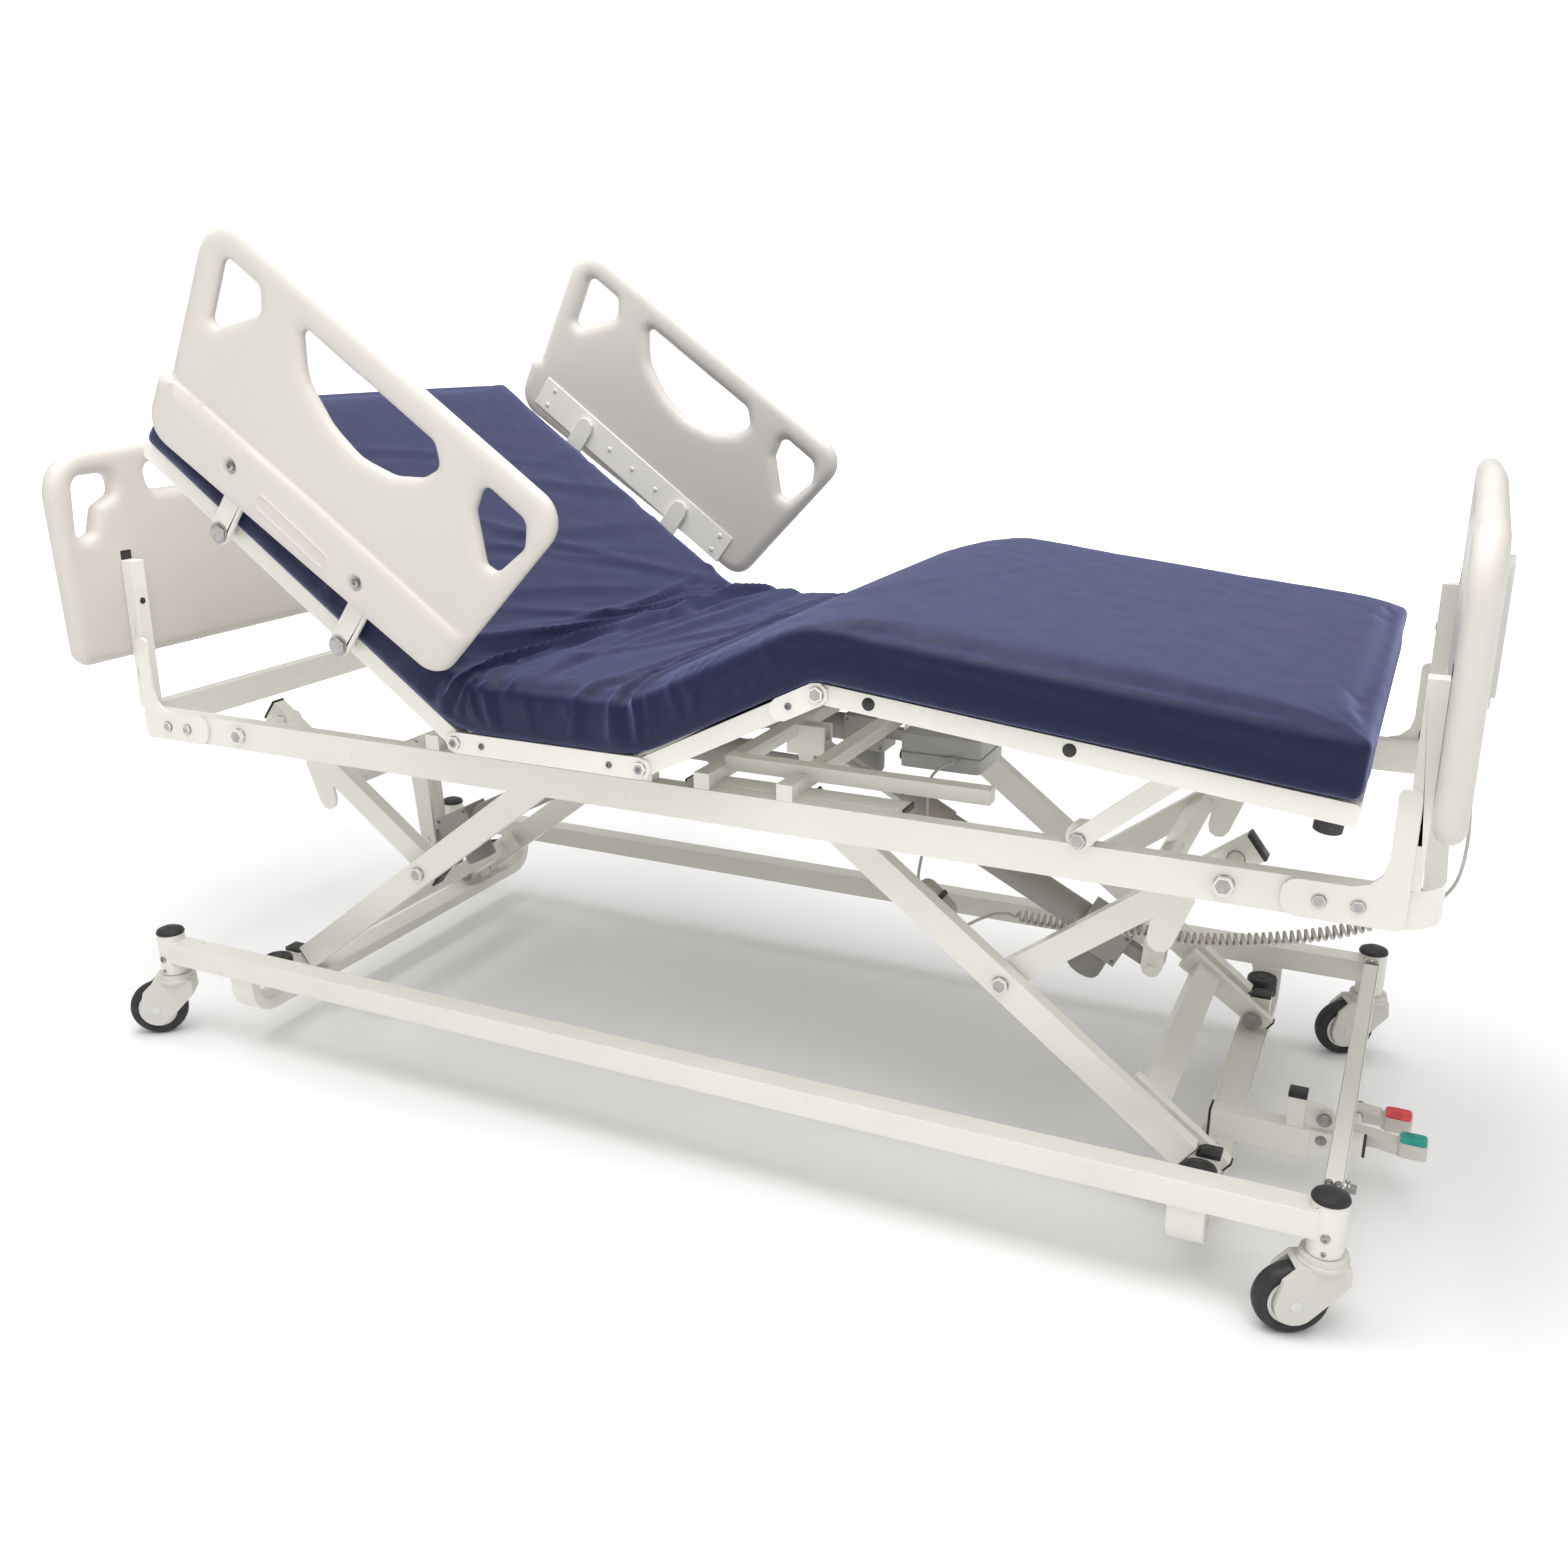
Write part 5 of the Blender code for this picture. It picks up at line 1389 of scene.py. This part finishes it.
def hank_route():
    """Turns of a long loop, one beside the next."""
    first, last = HANK_ENDS
    straight = (last - first).length
    bend = math.pi * HANK_RADIUS
    count = int(HANK_TURNS * HANK_STEPS)
    points = []
    for i in range(count + 1):
        d = (i / HANK_STEPS % 1.0) * (2 * straight + 2 * bend)
        if d < straight:
            p = first + HANK_WAY * d - HANK_OVER * HANK_RADIUS
        elif d < straight + bend:
            p = on_bend(last, (d - straight) / HANK_RADIUS - math.pi / 2)
        elif d < 2 * straight + bend:
            p = last - HANK_WAY * (d - straight - bend) + HANK_OVER * HANK_RADIUS
        else:
            p = on_bend(first, (d - 2 * straight - bend) / HANK_RADIUS + math.pi / 2)
        y = HANK_Y[0] + (HANK_Y[1] - HANK_Y[0]) * i / count
        points.append(Vector((p.x, y, p.y)))
    return points


def curl_route():
    """A coil wound round the curly stretch's own line, which opens and closes over its end turns."""
    line = catmull(CURL, 12)
    lengths = [0.0]
    for a, b in zip(line, line[1:]):
        lengths.append(lengths[-1] + (b - a).length)
    total = lengths[-1]
    count = round(total / CURL_PITCH) * CURL_STEPS
    points = []
    k = 0
    angle = 0.0
    for i in range(count + 1):
        d = total * i / count
        while k < len(lengths) - 2 and lengths[k + 1] < d:
            k += 1
        t = (d - lengths[k]) / (lengths[k + 1] - lengths[k])
        centre = line[k].lerp(line[k + 1], t)
        tangent = (line[k + 1] - line[k]).normalized()
        out = tangent.cross(Vector((0, 1, 0))).normalized()
        over = tangent.cross(out)
        opened = float(step(min(i, count - i), 0, 3 * CURL_STEPS))
        radius = CURL_RADIUS * opened
        angle += 2 * math.pi / CURL_STEPS * (0.25 + 0.75 * opened)
        points.append(centre + out * (radius * math.cos(angle)) + over * (radius * math.sin(angle)))
    return points


def joined_routes(*routes):
    """One even line through several, with its corners eased where they meet."""
    points = []
    for route in routes:
        for p in route:
            if not points or (p - points[-1]).length > 0.0006:
                points.append(p)
    line = np.array([tuple(p) for p in points])
    run = np.concatenate([[0], np.cumsum(np.linalg.norm(np.diff(line, axis=0), axis=1))])
    even = np.linspace(0, run[-1], round(run[-1] / CORD_STEP) + 1)
    line = np.stack([np.interp(even, run, line[:, i]) for i in range(3)], 1)
    for _ in range(3):
        line[1:-1] = 0.25 * line[:-2] + 0.5 * line[1:-1] + 0.25 * line[2:]
    return [Vector(p) for p in line]


def cord_wire(points):
    """The cord itself, as a round curve."""
    data = bpy.data.curves.new("hand_cord", "CURVE")
    data.dimensions = "3D"
    data.bevel_depth = CORD_RADIUS
    data.bevel_resolution = 3
    data.use_fill_caps = True
    line = data.splines.new("POLY")
    line.points.add(len(points) - 1)
    for knot, p in zip(line.points, points):
        knot.co = (*(BED @ p), 1)
    line.use_smooth = True
    data.materials.append(CORD)
    return in_scene("hand_cord", data)


TIE_WALL = 0.0011
STRAIN_RELIEF = [
    (0.0012, 0.7432), (0.0034, 0.7432), (0.0042, 0.7445),
    (0.0066, 0.7472), (0.0066, 0.7520), (0.0012, 0.7520),
]


def hank_tie():
    """A flat band round the middle of the hank."""
    middle = (HANK_ENDS[0] + HANK_ENDS[1]) / 2
    centre_y = (HANK_Y[0] + HANK_Y[1]) / 2
    low, high = HANK_Y[1] - 0.0042, HANK_Y[0] + 0.0042
    corners = [(-0.0172, low, 0.006), (0.0172, low, 0.006), (0.0172, high, 0.006), (-0.0172, high, 0.006)]
    outline = rounded(corners, 5)
    shape = bmesh.new()
    rows = []
    for off, wall in ((-0.004, 0.0), (0.004, 0.0), (0.004, TIE_WALL), (-0.004, TIE_WALL)):
        row = []
        for u, y in outline:
            u -= math.copysign(min(abs(u), wall), u)
            y += math.copysign(wall, centre_y - y)
            p = middle + HANK_WAY * off + HANK_OVER * u
            row.append(shape.verts.new((p.x, y, p.y)))
        rows.append(row)
    for a, b in zip(rows, rows[1:] + rows[:1]):
        for i in range(len(outline)):
            j = (i + 1) % len(outline)
            shape.faces.new((a[i], a[j], b[j], b[i]))
    bmesh.ops.recalc_face_normals(shape, faces=shape.faces)
    return piece("hank_tie", [shape], CAP, "frame", angle=30)


def hand_cord():
    """The cord from the control box through its hank and curl to the hand control."""
    route = joined_routes(
        catmull(BOX_LEAD, 5), hank_route(), catmull(MIDDLE_LEAD, 6), curl_route(), catmull(TAIL, 6)
    )
    made = cord_wire(route)
    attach(made, "frame")
    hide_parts("cord_box_lead", "cord_hank", "cord_middle_lead", "cord_curl", "cord_tail")
    tie = hank_tie()
    sleeve = [lathe("Z", (TAIL_X, 0, 0), STRAIN_RELIEF, 28)]
    relief = piece("handset_strain_relief", sleeve, HANDSET, "frame")


hand_cord()


def handset_details():
    """Plain direction marks beside each rocker, and a seam."""
    triangle = ((0.0, -0.0045), (0.0022, -0.0006), (-0.0022, -0.0006))
    marks = []
    for z in CONTROL_LEVELS:
        for way in (-1, 1):
            mark = [(way * (0.0225 + u), z + way * v) for u, v in triangle]
            marks.append(prism("X", mark, HANDSET_X + 0.0218, HANDSET_X + 0.0224))
    piece("handset_marks", marks, ROCKER, "frame")
    corners = [(-0.0245, 0.7655, 0.010), (0.0245, 0.7655, 0.010),
               (0.0295, 0.9547, 0.014), (-0.0295, 0.9547, 0.014)]
    seam = [prism("X", rounded(corners, 5), HANDSET_X + 0.0100, HANDSET_X + 0.0110)]
    piece("handset_seam", seam, MOTOR_DARK, "frame")


handset_details()


def box_details():
    """The control box's seam and the sockets along its end."""
    corners = ((0.2335, 0.0445), (0.3765, 0.0445), (0.3765, 0.1775), (0.2335, 0.1775))
    lid = rounded([(x, y, 0.009) for x, y in corners], 6)
    seam = [prism("Z", lid, 0.5660, 0.5690, 0.0008, 1)]
    piece("control_box_seam", seam, MOTOR_DARK, "frame")
    socket = [(0.0008, 0), (0.0085, 0), (0.0080, -0.0050), (0.0008, -0.0054)]
    sockets = [lathe("X", (0.2350, 0.066 + 0.0300 * k, 0.5560), socket, 24) for k in range(4)]
    piece("control_box_sockets", sockets, CAP, "frame")


box_details()

# Studio


LIGHTS = (
    ("key", (1.0, -1.9, 3.4), 2.0, 40.0),
    ("top", (-0.3, -0.15, 3.3), 2.4, 84.0),
    ("fill", (2.8, -2.6, 1.4), 2.2, 7.0),
)
LIT_POINT = Vector((0, 0, 0.5))


def studio_floor():
    """A white floor that glows more with distance, so that it meets the backdrop with no edge."""
    shape = bmesh.new()
    bmesh.ops.create_grid(shape, x_segments=8, y_segments=8, size=30.0)
    mesh = to_mesh(shape, "floor")
    floor = in_scene("floor", mesh)
    n = Nodes("studio_floor", (0.93, 0.93, 0.93), 0.75)
    n.colour(n.ramp(n.noise(1.2, 2), (0.92, 0.92, 0.92), (0.94, 0.94, 0.94)))
    n.roughness(n.spread(n.noise(30.0), 0.70, 0.80))
    reach = n.add("VectorMath", {}, operation="LENGTH")
    n.link(n.place, reach.inputs[0])
    filled(n.shader, {"Emission Color": (1.0, 1.0, 1.0, 1)})
    glow = n.spread(reach.outputs["Value"], 0.0, 0.9, (1.6, 4.5))
    n.link(glow, n.shader.inputs["Emission Strength"])
    mesh.materials.append(n.material)


def studio_world():
    """A white backdrop for the camera, and a room with a brighter ceiling for the light."""
    world = bpy.data.worlds.new("studio")
    bpy.context.scene.world = world
    world.use_nodes = True
    tree = world.node_tree
    backdrop = filled(tree.nodes["Background"], {"Color": (1.0, 1.0, 1.0, 1), "Strength": 1.0})
    room, place, parts, ceiling, seen, both = (
        tree.nodes.new("ShaderNode" + kind)
        for kind in ("Background", "TexCoord", "SeparateXYZ", "MapRange", "LightPath", "MixShader")
    )
    filled(ceiling, {"From Min": -0.1, "From Max": 0.9, "To Min": 0.40, "To Max": 1.0})
    for out, into in (
        (place.outputs["Generated"], parts.inputs["Vector"]),
        (parts.outputs["Z"], ceiling.inputs["Value"]),
        (ceiling.outputs["Result"], room.inputs["Strength"]),
        (seen.outputs["Is Camera Ray"], both.inputs["Fac"]),
        (room.outputs["Background"], both.inputs[1]),
        (backdrop.outputs["Background"], both.inputs[2]),
        (both.outputs["Shader"], tree.nodes["World Output"].inputs["Surface"]),
    ):
        tree.links.new(out, into)


def studio_lights():
    """Square area lights, each aimed at the middle of the bed."""
    for name, at, side, power in LIGHTS:
        data = bpy.data.lights.new(name, "AREA")
        data.size = side
        data.energy = power
        lamp = in_scene(name, data)
        lamp.location = at
        lamp.rotation_euler = (LIT_POINT - Vector(at)).to_track_quat("-Z", "Y").to_euler()


studio_floor()
studio_world()
studio_lights()
bpy.context.scene.view_settings.view_transform = "Standard"

bpy.context.view_layer.update()
